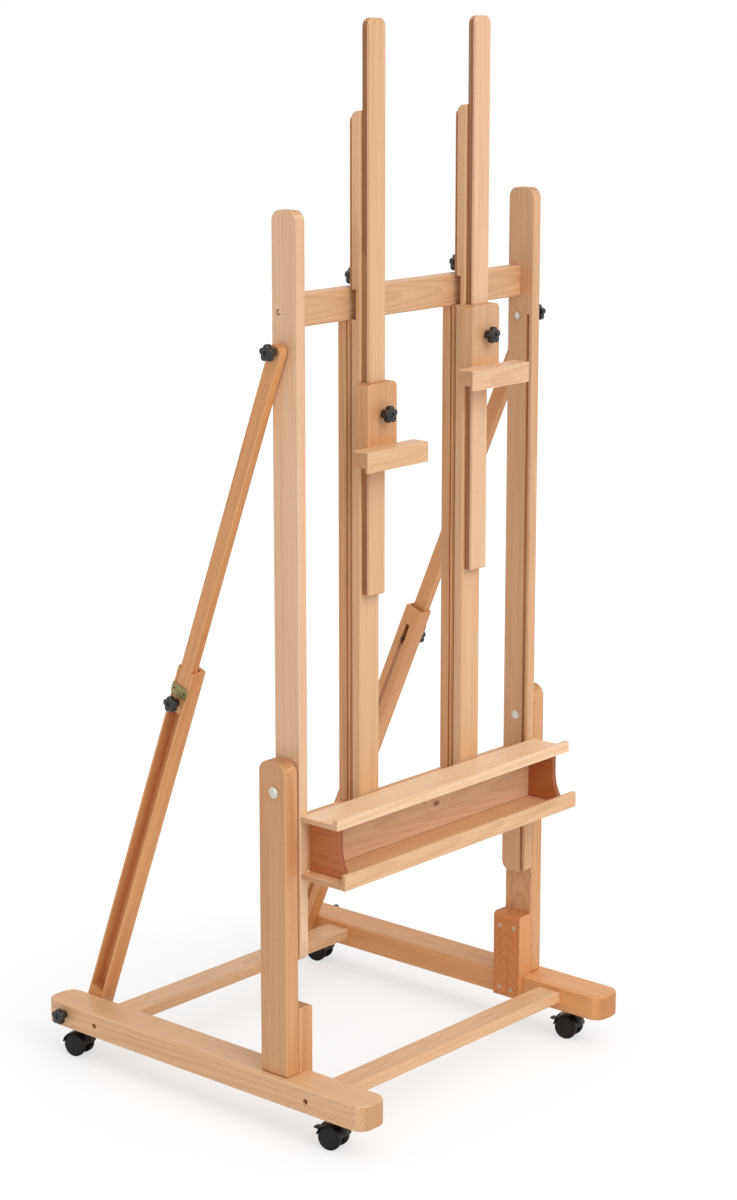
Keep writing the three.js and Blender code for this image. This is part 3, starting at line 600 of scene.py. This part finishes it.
class Surface:
    """Points and faces that are gathered into one mesh."""

    def __init__(self, *grids: np.ndarray) -> None:
        """Starts with bands of the first material slot.

        Args:
            grids: the bands.
        """
        self.points: List[np.ndarray] = []
        self.faces: List[np.ndarray] = []
        self.marks: List[np.ndarray] = []
        self.count = 0
        for grid in grids:
            self.add_grid(grid)

    def add_grid(self, grid: np.ndarray, mark: int = 0) -> None:
        """Adds a closed band: corner (i, j) joins (i, j+1), (i+1, j+1) and (i+1, j).

        Args:
            grid: rows by columns by three coordinates; rows that are all one point close the ends.
            mark: the material slot of its faces.
        """
        rows, columns = grid.shape[:2]
        row, column = np.meshgrid(np.arange(rows - 1), np.arange(columns), indexing="ij")
        after, low, high = (column + 1) % columns, row * columns, (row + 1) * columns
        faces = np.stack([low + column, low + after, high + after, high + column], axis=-1).reshape(-1, 4)
        self.points.append(grid.reshape(-1, 3))
        self.faces.append(faces + self.count)
        self.marks.append(np.full(len(faces), mark))
        self.count += rows * columns

    def object(self, name: str, smooth_angle: float = 38.0) -> bpy.types.Object:
        """Makes the mesh: merges doubles, turns faces outwards and smooths what is round.

        Args:
            name: the object's name.
            smooth_angle: the largest angle in degrees that is still smoothed.

        Returns:
            The object, at the origin.
        """
        points = np.concatenate(self.points)
        faces = np.concatenate(self.faces)
        mesh = bpy.data.meshes.new(name)
        mesh.from_pydata(points.tolist(), [], faces.tolist())
        mesh.polygons.foreach_set("material_index", np.concatenate(self.marks).astype(np.int32))
        work = bmesh.new()
        work.from_mesh(mesh)
        bmesh.ops.remove_doubles(work, verts=work.verts, dist=SAME_POINT)
        bmesh.ops.recalc_face_normals(work, faces=work.faces)
        work.to_mesh(mesh)
        work.free()
        mesh.polygons.foreach_set("use_smooth", np.ones(len(mesh.polygons), bool))
        mesh.set_sharp_from_angle(angle=math.radians(smooth_angle))
        obj = bpy.data.objects.new(name, mesh)
        bpy.context.scene.collection.objects.link(obj)
        return obj


@dataclass(frozen=True)
class Place:
    """Where a turned piece stands: a point on its axis and three directions."""

    origin: np.ndarray
    axis: np.ndarray
    side: np.ndarray
    up: np.ndarray

    @classmethod
    def along(cls, origin: Sequence[float], axis: Sequence[float]) -> "Place":
        """Builds the directions round an axis.

        Args:
            origin: a point on the axis.
            axis: the outward direction.

        Returns:
            The place, whose up is as near to the world's up as the axis lets it be.
        """
        out = unit(axis)
        guess = np.array(UP if abs(out[2]) < 0.9 else (1.0, 0.0, 0.0))
        side = unit(np.cross(guess, out))
        return cls(np.asarray(origin, float), out, side, np.cross(out, side))

    def point(self, side: np.ndarray, up: np.ndarray, out: np.ndarray) -> np.ndarray:
        """Turns local coordinates into points: origin + side * s + up * u + axis * a."""
        return (self.origin + side[..., None] * self.side + up[..., None] * self.up
                + out[..., None] * self.axis)

    def spun(self, radius: np.ndarray, angle: np.ndarray, out: np.ndarray) -> np.ndarray:
        """Turns a radius and an angle about the axis, and a height along it, into points."""
        return self.point(radius * np.cos(angle), radius * np.sin(angle), out + 0 * angle)


def circle(steps: int) -> np.ndarray:
    """Angles of a full turn in equal steps."""
    return np.linspace(0, 2 * math.pi, steps, endpoint=False)


def turned(place: Place, rows: Sequence[Pair], steps: int) -> np.ndarray:
    """A profile turned about an axis: point(i, t) is the row's radius at angle t and its height.

    Args:
        place: the axis.
        rows: radius and height of each row.
        steps: columns round the axis.

    Returns:
        The grid of points.
    """
    profile = np.asarray(rows, float)
    return place.spun(profile[:, :1], circle(steps), profile[:, 1:])


def capped(band: np.ndarray) -> np.ndarray:
    """Closes a band's ends with rows that are all one point, the middle of the end's own row."""
    first, last = (np.broadcast_to(row.mean(0), band[:1].shape) for row in (band[0], band[-1]))
    return np.concatenate([first, band, last])


def rounded(steps: int, flat: float, blunt: float = 0.6) -> Tuple[np.ndarray, np.ndarray]:
    """The outline of a strip with rounded edges, within one unit.

    Each coordinate is a circle's, with its size raised to a power below one.

    Args:
        steps: number of points.
        flat: power of the coordinate across the strip.
        blunt: power of the coordinate through it.

    Returns:
        The coordinates across and through the strip.
    """
    across, rise = np.cos(circle(steps)), np.sin(circle(steps))
    return np.sign(across) * np.abs(across) ** flat, np.sign(rise) * np.abs(rise) ** blunt


class Knob(Enum):
    """The star knobs' families: node name and outward direction on the right side.

    A lock knob's direction is square to its strut.
    """

    HOLDER = ("holder_knob", (0.0, -1.0, 0.0))
    MAST = ("mast_knob", (0.0, 1.0, 0.0))
    LOCK = ("strut_lock_knob", (0.999417, 0.012877, -0.031616))
    HEAD = ("strut_head_knob", (1.0, 0.0, 0.0))
    FOOT = ("strut_foot_knob", (1.0, 0.0, 0.0))


@dataclass
class StarKnob:
    """A five-lobed star knob with a tapered hub, a pit in its face and a zinc stud."""

    family: Knob
    side: str
    diameter: float = 34 * MM
    thickness: float = 13 * MM
    waist_share: float = 0.775
    hub_diameter: float = 18 * MM
    hub_length: float = 11 * MM
    pit_diameter: float = 9 * MM
    pit_depth: float = 3.2 * MM
    ease: float = 2.8 * MM
    back_ease: float = 2.2 * MM
    crown: float = 0.5 * MM
    stud_radius: float = 3.5 * MM
    stud_ease: float = 0.8 * MM
    lobes: int = 5
    steps: int = 90

    def outline(self, angle: np.ndarray) -> np.ndarray:
        """Radius at an angle: full at a lobe, waist_share of it between two, with narrow waists."""
        valley = (1 - np.cos(self.lobes * angle)) / 2
        return self.diameter / 2 * (1 - (1 - self.waist_share) * valley**1.7)

    def head(self, place: Place) -> np.ndarray:
        """The head and hub as one surface.

        A point's radius is share * outline(angle) + offset, where share is 1 on the lobed rim and 0 on
        the round pit and hub; its height is the row's.

        Args:
            place: the knob's axis, with the origin at the back of the hub.

        Returns:
            The grid of points.
        """
        bend = np.linspace(0, math.pi / 2, 6)
        sine, cosine = np.sin(bend), np.cos(bend)
        back, front = self.hub_length, self.hub_length + self.thickness
        pit, hub = self.pit_diameter / 2, self.hub_diameter / 2
        floor = front - self.pit_depth
        # The pit's floor and wall, and the flat face out to the rim.
        rows = [(0.0, 0.0, floor), (0.0, pit * 0.9, floor), (0.0, pit, floor + 0.4 * MM),
                (0.0, pit, front - 0.7 * MM), (0.0, pit + 0.8 * MM, front),
                (0.35, pit * 0.65, front - 0.1 * MM), (0.75, -self.ease * 0.6, front - 0.3 * MM)]
        # The eased rim, the side and the eased back.
        shoulder = front - self.crown
        rows += [(1.0, -self.ease * (1 - s), shoulder - self.ease * (1 - c)) for s, c in zip(sine, cosine)]
        rows += [(1.0, 0.15 * MM, (front + back) / 2)]
        low = self.back_ease
        rows += [(1.0, -low * (1 - c), back + low * (1 - s)) for s, c in zip(sine, cosine)]
        # The tapered hub, down to its chamfered end.
        rows += [(0.0, hub + 1.2 * MM, back), (0.0, hub, back - 1.4 * MM), (0.0, hub - 0.5 * MM, 1.0 * MM),
                 (0.0, hub - 1.3 * MM, 0.0), (0.0, 0.0, 0.0)]
        profile = np.array(rows)
        angle = circle(self.steps)
        radius = profile[:, :1] * self.outline(angle) + profile[:, 1:2]
        return place.spun(radius, angle + math.pi / 2, profile[:, 2:])

    def build(self) -> None:
        """Builds the knob on its node's axis and lets it ride on its body."""
        family, (aside, ahead, up) = self.family.value
        node = f"{family}_{self.side}"
        body = node.replace("strut_", "")
        axis = unit((aside * dict(SIDES)[self.side], ahead, up))
        points = node_points(node)
        reach = points @ axis
        front = points[reach > reach.max() - 1 * MM]
        centre = (front.max(0) + front.min(0)) / 2
        base = centre + axis * (reach.max() - centre.dot(axis) - self.hub_length - self.thickness)
        stud = reach.min() - base.dot(axis)
        place = Place.along(base, axis)
        head = self.head(place)
        form = Surface(head[:5], head[8:])
        # The flat face takes the lighter grey: painted light.
        form.add_grid(head[4:9], 3)
        if stud < -2 * MM:
            radius, ease = self.stud_radius, self.stud_ease
            form.add_grid(turned(place, [(0, 0.2 * MM), (radius, 0.2 * MM), (radius, stud + ease),
                                         (radius - ease, stud), (0, stud)], 24), 1)
        # A near-black disc just over the pit's floor: painted shade in the pit.
        pit = self.pit_diameter / 2 - 0.15 * MM
        low = self.hub_length + self.thickness - self.pit_depth + 0.05 * MM
        high = low + 0.1 * MM
        form.add_grid(turned(place, [(0, high), (pit, high), (pit, low), (0, low)], 24), 2)
        obj = form.object(f"star_{node}")
        dress(obj, KNOB, STEEL, PAINTED_SHADE_BLACK, PAINTED_LIGHT_FACE)
        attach(obj, body)
        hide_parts(node)


class Corner(Enum):
    """The four casters: node suffix, side, place of the stem along Y and whether it has a brake."""

    FRONT_LEFT = ("front_left", -0.381, -0.3625, True)
    FRONT_RIGHT = ("front_right", 0.381, -0.3625, True)
    REAR_LEFT = ("rear_left", -0.381, 0.3625, False)
    REAR_RIGHT = ("rear_right", 0.381, 0.3625, False)


@dataclass
class Caster:
    """A twin-wheel furniture caster: hood, wheels on one axle, and a brake pedal on the front ones."""

    corner: Corner
    trail: float = 21 * MM
    turn: float = math.radians(99)
    wheel_radius: float = 25 * MM
    wheel_inner: float = 8 * MM
    wheel_outer: float = 22 * MM
    hood_inner: float = 26 * MM
    hood_shell: float = 2.6 * MM
    hood_reach: float = 23 * MM
    hood_start: float = math.radians(8)
    web_half: float = 7 * MM
    web_rim: float = 0.8 * MM
    web_waist: float = 10.5 * MM
    crown_fall: float = 1.3 * MM
    boss_radius: float = 11 * MM
    boss_bottom: float = 34 * MM
    flange_radius: float = 15 * MM
    mount_height: float = 67.7 * MM
    stem_radius: float = 4 * MM
    stem_length: float = 24 * MM
    pedal_width: float = 18 * MM
    pedal_thickness: float = 3 * MM
    pedal_gap: float = 1 * MM
    pedal_arc: Pair = (62.0, 18.0)
    pedal_tip: float = 13 * MM
    pedal_droop: float = 0.6 * MM

    def axle(self) -> Place:
        """Finds the axle.

        Returns:
            Its place, with the outward direction across the trail.
        """
        _, x, y, _ = self.corner.value
        trail = np.array([math.cos(self.turn), math.sin(self.turn), 0.0])
        across = np.array([-trail[1], trail[0], 0.0])
        origin = np.array([x, y, self.wheel_radius]) + trail * self.trail
        return Place(origin, across, trail, np.array(UP))

    def wheels(self) -> bpy.types.Object:
        """Both wheels and their axle: one profile turned about the axle, from disc to disc.

        Returns:
            The object.
        """
        r, a, b = self.wheel_radius / MM, self.wheel_inner / MM, self.wheel_outer / MM
        # In millimetres: the axle, the inner disc and its shoulder, the tread, the outer shoulder,
        # the groove round the disc, the domed disc and the ring round its middle.
        half = [(3, a), (8, a + 0.2), (r - 3.4, a), (r - 1.2, a + 0.7), (r - 0.3, a + 2), (r, a + 4),
                (r, b - 5), (r - 0.3, b - 3), (r - 1.1, b - 1.5), (r - 2.2, b - 1), (r - 2.6, b - 1.6),
                (r - 3.3, b - 1.6), (r - 3.8, b - 0.9), (r - 7, b - 0.5), (r * 0.4, b - 0.15), (5.2, b),
                (4.6, b - 0.5), (4, b - 0.5), (3.4, b - 0.1), (0, b)]
        rows = MM * np.array([(radius, -out) for radius, out in reversed(half)] + half)
        return Surface(turned(self.axle(), rows, 72)).object(f"caster_twin_{self.corner.value[0]}", 28.0)

    def hood(self) -> bpy.types.Object:
        """The hood: a cap over both wheels, a web between them, the boss and the mounting flange.

        The cap is a rounded strip section carried along an arc about the axle; its crown falls
        towards both rims. The web is an outline of radius r(angle) with eased edges.

        Returns:
            The object.
        """
        place = self.axle()
        inner, outer = self.hood_inner, self.hood_inner + self.hood_shell
        share, rise = rounded(44, 0.28)
        fall = self.crown_fall * share**4
        radial = (inner + outer) / 2 + rise * self.hood_shell / 2 - np.where(rise > 0, fall, 0)
        sweep = np.linspace(self.hood_start, math.pi - self.hood_start, 40)[:, None]
        band = capped(place.spun(radial, sweep, share * self.hood_reach))

        angle = circle(72)
        low = np.clip(-np.sin(angle) + 0.14, 0, 1)
        outline = outer - self.web_rim - (outer - self.web_waist) * low**0.55
        edge = [(0.0, 1.0), (0.94, 1.0), (0.985, 0.86), (1.0, 0.6)]
        rows = np.array(edge + [(share, -depth) for share, depth in reversed(edge)])
        form = Surface(band, place.spun(rows[:, :1] * outline, angle, rows[:, 1:] * self.web_half))

        _, x, y, _ = self.corner.value
        stem = Place.along((x, y, 0.0), UP)
        top, b, f = self.mount_height / MM, self.boss_radius / MM, self.flange_radius / MM
        bottom, s, tip = self.boss_bottom / MM, self.stem_radius / MM, top + self.stem_length / MM
        # In millimetres: the boss, the collar on it and the flange under the foot; then the stem.
        boss = [(0, bottom), (b - 2, bottom), (b, bottom + 3), (b, top - 7), (b + 0.8, top - 6.6),
                (b + 0.8, top - 3.6), (f - 0.8, top - 3), (f, top - 2.4), (f, top - 0.6), (f - 0.5, top),
                (0, top)]
        form.add_grid(turned(stem, MM * np.array(boss), 48))
        form.add_grid(turned(stem, MM * np.array([(0, top - 1), (s, top - 1), (s, tip), (0, tip)]), 24), 1)
        return form.object(f"caster_cap_{self.corner.value[0]}", 34.0)

    def pedal(self) -> bpy.types.Object:
        """The brake pedal: a rounded strip section carried along an arc over the hood and a straight lip.

        Returns:
            The object.
        """
        place = self.axle()
        radius = self.hood_inner + self.hood_shell + self.pedal_gap + self.pedal_thickness / 2
        arc = np.radians(np.linspace(*self.pedal_arc, 16))
        side, up = radius * np.cos(arc), radius * np.sin(arc)
        along = np.linspace(0, 1, 8)[1:]
        lip_side = side[-1] + along * self.pedal_tip
        lip_up = up[-1] + self.pedal_droop * np.sin(along * math.pi / 2) * along
        path = np.stack([np.concatenate([side, lip_side]), np.concatenate([up, lip_up])], axis=1)
        ahead = np.gradient(path, axis=0)
        ahead /= np.linalg.norm(ahead, axis=1, keepdims=True)
        normal = np.stack([-ahead[:, 1], ahead[:, 0]], axis=1)
        wide, thick = rounded(32, 0.35)
        thick = thick * self.pedal_thickness / 2
        share = np.ones((len(path), 1))
        share[-3:, 0] = (0.98, 0.92, 0.8)
        band = capped(place.point(path[:, :1] + normal[:, :1] * thick, path[:, 1:] + normal[:, 1:] * thick,
                                  wide * self.pedal_width / 2 * share))
        return Surface(band).object(f"caster_pedal_{self.corner.value[0]}", 40.0)

    def build(self) -> None:
        """Builds the caster's pieces and lets each ride on its body."""
        name, _, _, braked = self.corner.value
        hood = self.hood()
        dress(hood, CASTER, STEEL)
        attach(hood, f"caster_{name}")
        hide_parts(f"caster_hood_{name}")
        wheels = self.wheels()
        dress(wheels, WHEEL)
        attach(wheels, f"wheels_{name}")
        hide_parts(f"caster_wheels_{name}")
        if braked:
            pedal = self.pedal()
            dress(pedal, CASTER)
            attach(pedal, f"brake_{name}")
            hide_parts(f"caster_brake_{name}")


class Drive(Enum):
    """What turns a fastener, and how far its socket reaches across the head."""

    CROSS = 0.82
    HEX = 0.5


@dataclass
class Fastener:
    """A screw or bolt head of some diameter and height, with a driven socket."""

    name: str
    body: str
    spot: Vec3
    axis: Vec3
    size: Pair
    drive: Drive
    steps: int = 64
    rim: float = 0.82

    def build(self, metal: bpy.types.Material) -> None:
        """Builds the head.

        The height at radius r is a low dome, less the socket's depth inside the socket's outline:
        four narrow wings for a cross, six flats for a hexagon.

        Args:
            metal: the head's material.
        """
        share = self.drive.value
        place = Place.along(self.spot, self.axis)
        angle = circle(self.steps)
        radius, top = self.size[0] / 2, self.size[1]
        if self.drive is Drive.CROSS:
            socket = radius * (0.2 + (share - 0.2) * np.abs(np.cos(2 * angle)) ** 6)
        else:
            wedge = (angle + math.pi / 6) % (math.pi / 3) - math.pi / 6
            socket = radius * share * math.cos(math.pi / 6) / np.cos(wedge)
        lip = socket * 1.08
        # The socket's floor, wall and lip; then the dome, its edge, the skirt and the flat underside.
        rows = [0 * angle, socket * 0.75, socket, lip + 0.02 * radius]
        rows += [np.maximum(lip + 0.04 * radius, radius * self.rim)]
        rows += [radius * reach + 0 * angle for reach in (0.95, 1.0, 1.0, 0.0)]
        heights = top * np.array([0.1, 0.12, 0.95, 1.0, 0.9, 0.6, 0.3, -1.0, -1.0])
        points = place.spun(np.array(rows), angle, heights[:, None])
        form = Surface(points[3:])
        # The socket's floor, wall and lip take the near-black: painted shade in the socket.
        form.add_grid(points[:4], 1)
        obj = form.object(self.name)
        dress(obj, metal, PAINTED_SHADE_BLACK)
        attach(obj, self.body)


@dataclass
class Assembly:
    """A sub-assembly: the boards it is made of, and the pieces that are added to them."""

    boards: Tuple[Board, ...] = ()

    def dress_boards(self, first: int) -> int:
        """Dresses the boards.

        Args:
            first: the number of its first board in the whole easel.

        Returns:
            The number after its last board.
        """
        for number, board in enumerate(self.boards, first):
            board.finish(number)
        return first + len(self.boards)

    def build(self) -> None:
        """Adds no piece; an assembly with screws or bolts adds them here."""


@dataclass
class BaseFrame(Assembly):
    """Feet, stretchers, posts and post blocks."""

    boards: Tuple[Board, ...] = (
        Board("foot_left", Wood.HONEY),
        Board("foot_right", Wood.GINGER, Cut.FLAT),
        Board("stretcher_front", Wood.HONEY, Cut.FLAT),
        Board("stretcher_rear", Wood.HONEY, Cut.FLAT),
        Board("post_left", Wood.AMBER, Cut.QUARTER),
        Board("post_right", Wood.AMBER, Cut.WAVY, arch=1),
        Board("post_block_left", Wood.AMBER, Cut.QUARTER),
        # Its front and back faces are paler than its sides: painted light.
        Board("post_block_right", Wood.COPPER, Cut.ARCHED, arch=1, flank=Flank.SANDED),
    )
    block_face: float = 0.332
    foot_face: float = 0.42
    left_screws: Tuple[Pair, ...] = (
        (-0.2215, 0.0865), (-0.1845, 0.0865), (-0.2215, 0.2335), (-0.1845, 0.2335))
    right_screws: Tuple[Pair, ...] = (
        (-0.2155, 0.0865), (-0.1845, 0.0865), (-0.2215, 0.228), (-0.1845, 0.228))
    screw_size: Pair = (9.6 * MM, 0.8 * MM)
    bolt_spots: Tuple[Pair, ...] = ((-0.299, 0.094), (0.299, 0.094))
    bolt_size: Pair = (9.0 * MM, 2.4 * MM)
    bolt_depth: float = 9 * MM

    def build(self) -> None:
        """Adds the block screws and the stretcher bolts."""
        for side, sign in SIDES:
            for number, (y, z) in enumerate(self.left_screws if sign < 0 else self.right_screws):
                spot = (sign * self.block_face, y, z)
                Fastener(f"block_screw_{side}_{number}", "base", spot, (-sign, 0.0, 0.0), self.screw_size,
                         Drive.CROSS).build(SCREW)
            for number, (y, z) in enumerate(self.bolt_spots):
                spot = (sign * (self.foot_face - self.bolt_depth), y, z)
                Fastener(f"stretcher_bolt_{side}_{number}", "base", spot, (sign, 0.0, 0.0), self.bolt_size,
                         Drive.HEX).build(BOLT)


@dataclass
class TiltFrame(Assembly):
    """Side boards, crossbars, mast spines and rails."""

    boards: Tuple[Board, ...] = (
        Board("side_board_left", Wood.PALE, Cut.QUARTER),
        # A darker tone than the left board's, partly painting the shade on the right board.
        Board("side_board_right", Wood.SAND, Cut.QUARTER),
        Board("crossbar_upper", Wood.SAND, Cut.FLAT),
        Board("crossbar_lower", Wood.AMBER, Cut.FLAT),
        Board("mast_spine_left", Wood.AMBER),
        Board("mast_spine_right", Wood.AMBER),
        Board("mast_rail_left", Wood.HONEY, Cut.QUARTER),
        Board("mast_rail_right", Wood.HONEY, Cut.QUARTER),
    )
    board_face: float = 0.3685
    bolt_spots: Tuple[Pair, ...] = ((-0.1945, 1.625), (-0.1945, 0.5985))
    bolt_size: Pair = (8.8 * MM, 2.6 * MM)
    bolt_depth: float = 5.0 * MM

    def build(self) -> None:
        """Adds the bolt heads in the side boards' recesses."""
        for side, sign in SIDES:
            for number, (y, z) in enumerate(self.bolt_spots):
                spot = (sign * (self.board_face - self.bolt_depth), y, z)
                Fastener(f"crossbar_bolt_{side}_{number}", "tilt_frame", spot, (sign, 0.0, 0.0),
                         self.bolt_size, Drive.HEX).build(STEEL)


@dataclass
class Masts(Assembly):
    """Sliding extensions and the clamping holders on them."""

    boards: Tuple[Board, ...] = (
        # Both extensions' side faces carry painted shade.
        Board("mast_extension_left", Wood.HONEY, Cut.QUARTER, flank=Flank.SHADED),
        Board("mast_extension_right", Wood.PALE, flank=Flank.SHADED),
        Board("holder_block_left", Wood.AMBER),
        Board("holder_block_right", Wood.SAND, Cut.QUARTER),
        Board("holder_ledge_left", Wood.HONEY, Cut.FLAT),
        Board("holder_ledge_right", Wood.PALE, Cut.FLAT),
    )


@dataclass
class Tray(Assembly):
    """Canvas rest, trough boards, ends and runners."""

    boards: Tuple[Board, ...] = (
        Board("canvas_rest", Wood.CREAM),
        Board("tray_floor", Wood.HONEY),
        Board("tray_front_lip", Wood.HONEY, Cut.FLAT),
        Board("tray_back", Wood.PALE, Cut.FLAT, knot=Knot((0.026, -0.2575, 0.590))),
        # The darker UMBER tone on the tray's ends partly paints the shade that falls on them.
        Board("tray_end_left", Wood.UMBER, Cut.FLAT, (0.0, 1.0, 0.0)),
        Board("tray_end_right", Wood.UMBER, Cut.FLAT, (0.0, 1.0, 0.0)),
        Board("tray_runner_left", Wood.AMBER),
        Board("tray_runner_right", Wood.AMBER),
    )


@dataclass
class Struts(Assembly):
    """Telescoping struts with their straps and head bolts."""

    foot: Vec3 = (0.3398, 0.3875, 0.097)
    head: Vec3 = (0.3935, -0.2055, 1.553)
    screw_spread: float = 14.5 * MM
    screw_size: Pair = (5.0 * MM, 0.8 * MM)

    def along(self, sign: float) -> Vec3:
        """Direction of a strut from its foot to its head.

        Args:
            sign: 1 for the right strut and -1 for the left one.

        Returns:
            The direction.
        """
        way = unit(np.array(self.head) - np.array(self.foot))
        return (float(way[0] * sign), float(way[1]), float(way[2]))

    def __post_init__(self) -> None:
        """Lists the boards, whose grain runs along their strut."""
        self.boards = tuple(
            Board(f"strut_{part}_{side}", Wood.GINGER, Cut.QUARTER, self.along(sign))
            for side, sign in SIDES for part in ("channel", "arm"))

    def strap_screws(self, side: str, sign: float) -> None:
        """Adds a strap's two screws, beside the middle of its outer face.

        Args:
            side: left or right.
            sign: 1 for the right strut and -1 for the left one.
        """
        aside, ahead, up = Knob.LOCK.value[1]
        out = unit((aside * sign, ahead, up))
        across = np.cross(out, self.along(sign))
        points = node_points(f"strut_strap_{side}")
        front = points[points @ out > (points @ out).max() - 0.2 * MM]
        centre = (front.max(0) + front.min(0)) / 2
        for number, way in enumerate((-1.0, 1.0)):
            spot = tuple(centre + across * (way * self.screw_spread))
            Fastener(f"strap_screw_{side}_{number}", f"channel_{side}", spot, tuple(out), self.screw_size,
                     Drive.CROSS).build(BOLT)

    def build(self) -> None:
        """Screws the straps on, and dresses the straps and bolts that stay the frame's own."""
        for side, sign in SIDES:
            self.strap_screws(side, sign)
            dress(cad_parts[f"strut_strap_{side}"], STRAP)
            dress(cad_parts[f"strut_head_bolt_{side}"], STEEL)
            dress(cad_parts[f"tilt_bolt_{side}"], STEEL)


@dataclass
class Studio:
    """Pale floor, soft light and the photograph's camera."""

    camera_at: Vec3 = (-4.1129, -3.6844, 2.2557)
    camera_turn: Vec3 = (77.0, 0.0, -48.9)
    lens: float = 82.49
    sensor: float = 36.0
    sky: float = 0.52
    lamps: Tuple[Tuple[str, float, Vec3, float], ...] = (
        ("key", 1.38, (-0.15, -1.0, 0.8), 40.0),
        ("fill", 0.3, (-1.0, -0.4, 0.4), 60.0),
        ("top", 0.55, (0.0, -0.2, 1.0), 60.0),
    )
    floor_rings: Tuple[float, ...] = (0.0, 0.6, 1.2, 2.0, 3.5, 6.0, 10.0, 14.0)
    floor_fade: Pair = (0.5, 1.7)
    floor_near: float = 0.58
    floor_glow: float = 1.08

    def camera(self) -> None:
        """Sets the camera at the photograph's viewing angle."""
        data = bpy.data.cameras.new("photo_camera")
        data.sensor_fit = "VERTICAL"
        data.sensor_height = self.sensor
        data.lens = self.lens
        data.clip_end = 100.0
        obj = bpy.data.objects.new("photo_camera", data)
        obj.location = self.camera_at
        obj.rotation_euler = tuple(math.radians(a) for a in self.camera_turn)
        bpy.context.scene.collection.objects.link(obj)
        bpy.context.scene.camera = obj

    def lights(self) -> None:
        """Adds far, soft lamps from their name, light on a facing surface, direction and angular width."""
        for name, strength, way, width in self.lamps:
            data = bpy.data.lights.new(name, "SUN")
            data.energy = strength
            data.angle = math.radians(width)
            obj = bpy.data.objects.new(name, data)
            obj.rotation_euler = Vector(way).to_track_quat("Z", "Y").to_euler()
            bpy.context.scene.collection.objects.link(obj)

    def surroundings(self) -> None:
        """White for what looks at it, and even light for the object."""
        world = bpy.data.worlds.new("studio")
        bpy.context.scene.world = world
        world.use_nodes = True
        shader = Shader(world.node_tree)
        path = shader.node("ShaderNodeLightPath").socket.node.outputs
        seen = Link(shader, path["Is Camera Ray"])
        for name in ("Is Glossy Ray", "Is Transmission Ray"):
            seen = seen.most(Link(shader, path[name]))
        strength = seen * (1.0 - self.sky) + self.sky
        light = shader.node("ShaderNodeBackground", {}, {"Color": WHITE, "Strength": strength})
        shader.node("ShaderNodeOutputWorld", {}, {"Surface": light})

    def floor(self) -> None:
        """The floor: a wide disc whose white grows with distance, and which keeps the object's shadow."""
        centre = Place.along((0.0, 0.0, 0.0), UP)
        obj = Surface(turned(centre, [(r, 0.0) for r in self.floor_rings], 96)).object("studio_floor")
        material, shader = new_material("studio_floor")
        point = shader.coordinates()
        away = shader.vector("LENGTH", point, (0.0, 0.0, 0.0), 1).fade(*self.floor_fade)
        grain = shader.noise(point, (60.0, 60.0, 60.0))
        path = shader.node("ShaderNodeLightPath", {}, {}, "Is Camera Ray")
        white = path * (away * (1.0 - self.floor_near) + self.floor_near)
        paint = shader.mix(grain * 0.06, srgb(246, 246, 246), srgb(232, 232, 232))
        cover = shader.node("ShaderNodeBsdfDiffuse", {}, {"Color": paint})
        glow = shader.node("ShaderNodeEmission", {}, {"Color": WHITE, "Strength": self.floor_glow})
        both = shader.node("ShaderNodeMixShader", {}, {0: white, 1: cover, 2: glow})
        shader.node("ShaderNodeOutputMaterial", {}, {"Surface": both})
        dress(obj, material)

    def build(self) -> None:
        """Sets up camera, light and floor."""
        bpy.context.scene.view_settings.view_transform = "Standard"
        self.camera()
        self.surroundings()
        self.lights()
        self.floor()


def main() -> None:
    """Builds the sub-assemblies in order."""
    logging.basicConfig(level=logging.INFO, format="%(name)s: %(message)s", stream=sys.stdout)
    Studio().build()
    number = 1
    for assembly in (BaseFrame(), TiltFrame(), Masts(), Tray(), Struts()):
        number = assembly.dress_boards(number)
        assembly.build()
        LOG.info("built %s", type(assembly).__name__)
    for family in Knob:
        for side in ("left", "right"):
            StarKnob(family, side).build()
    for corner in Corner:
        Caster(corner).build()


if __name__ == "__main__":
    main()
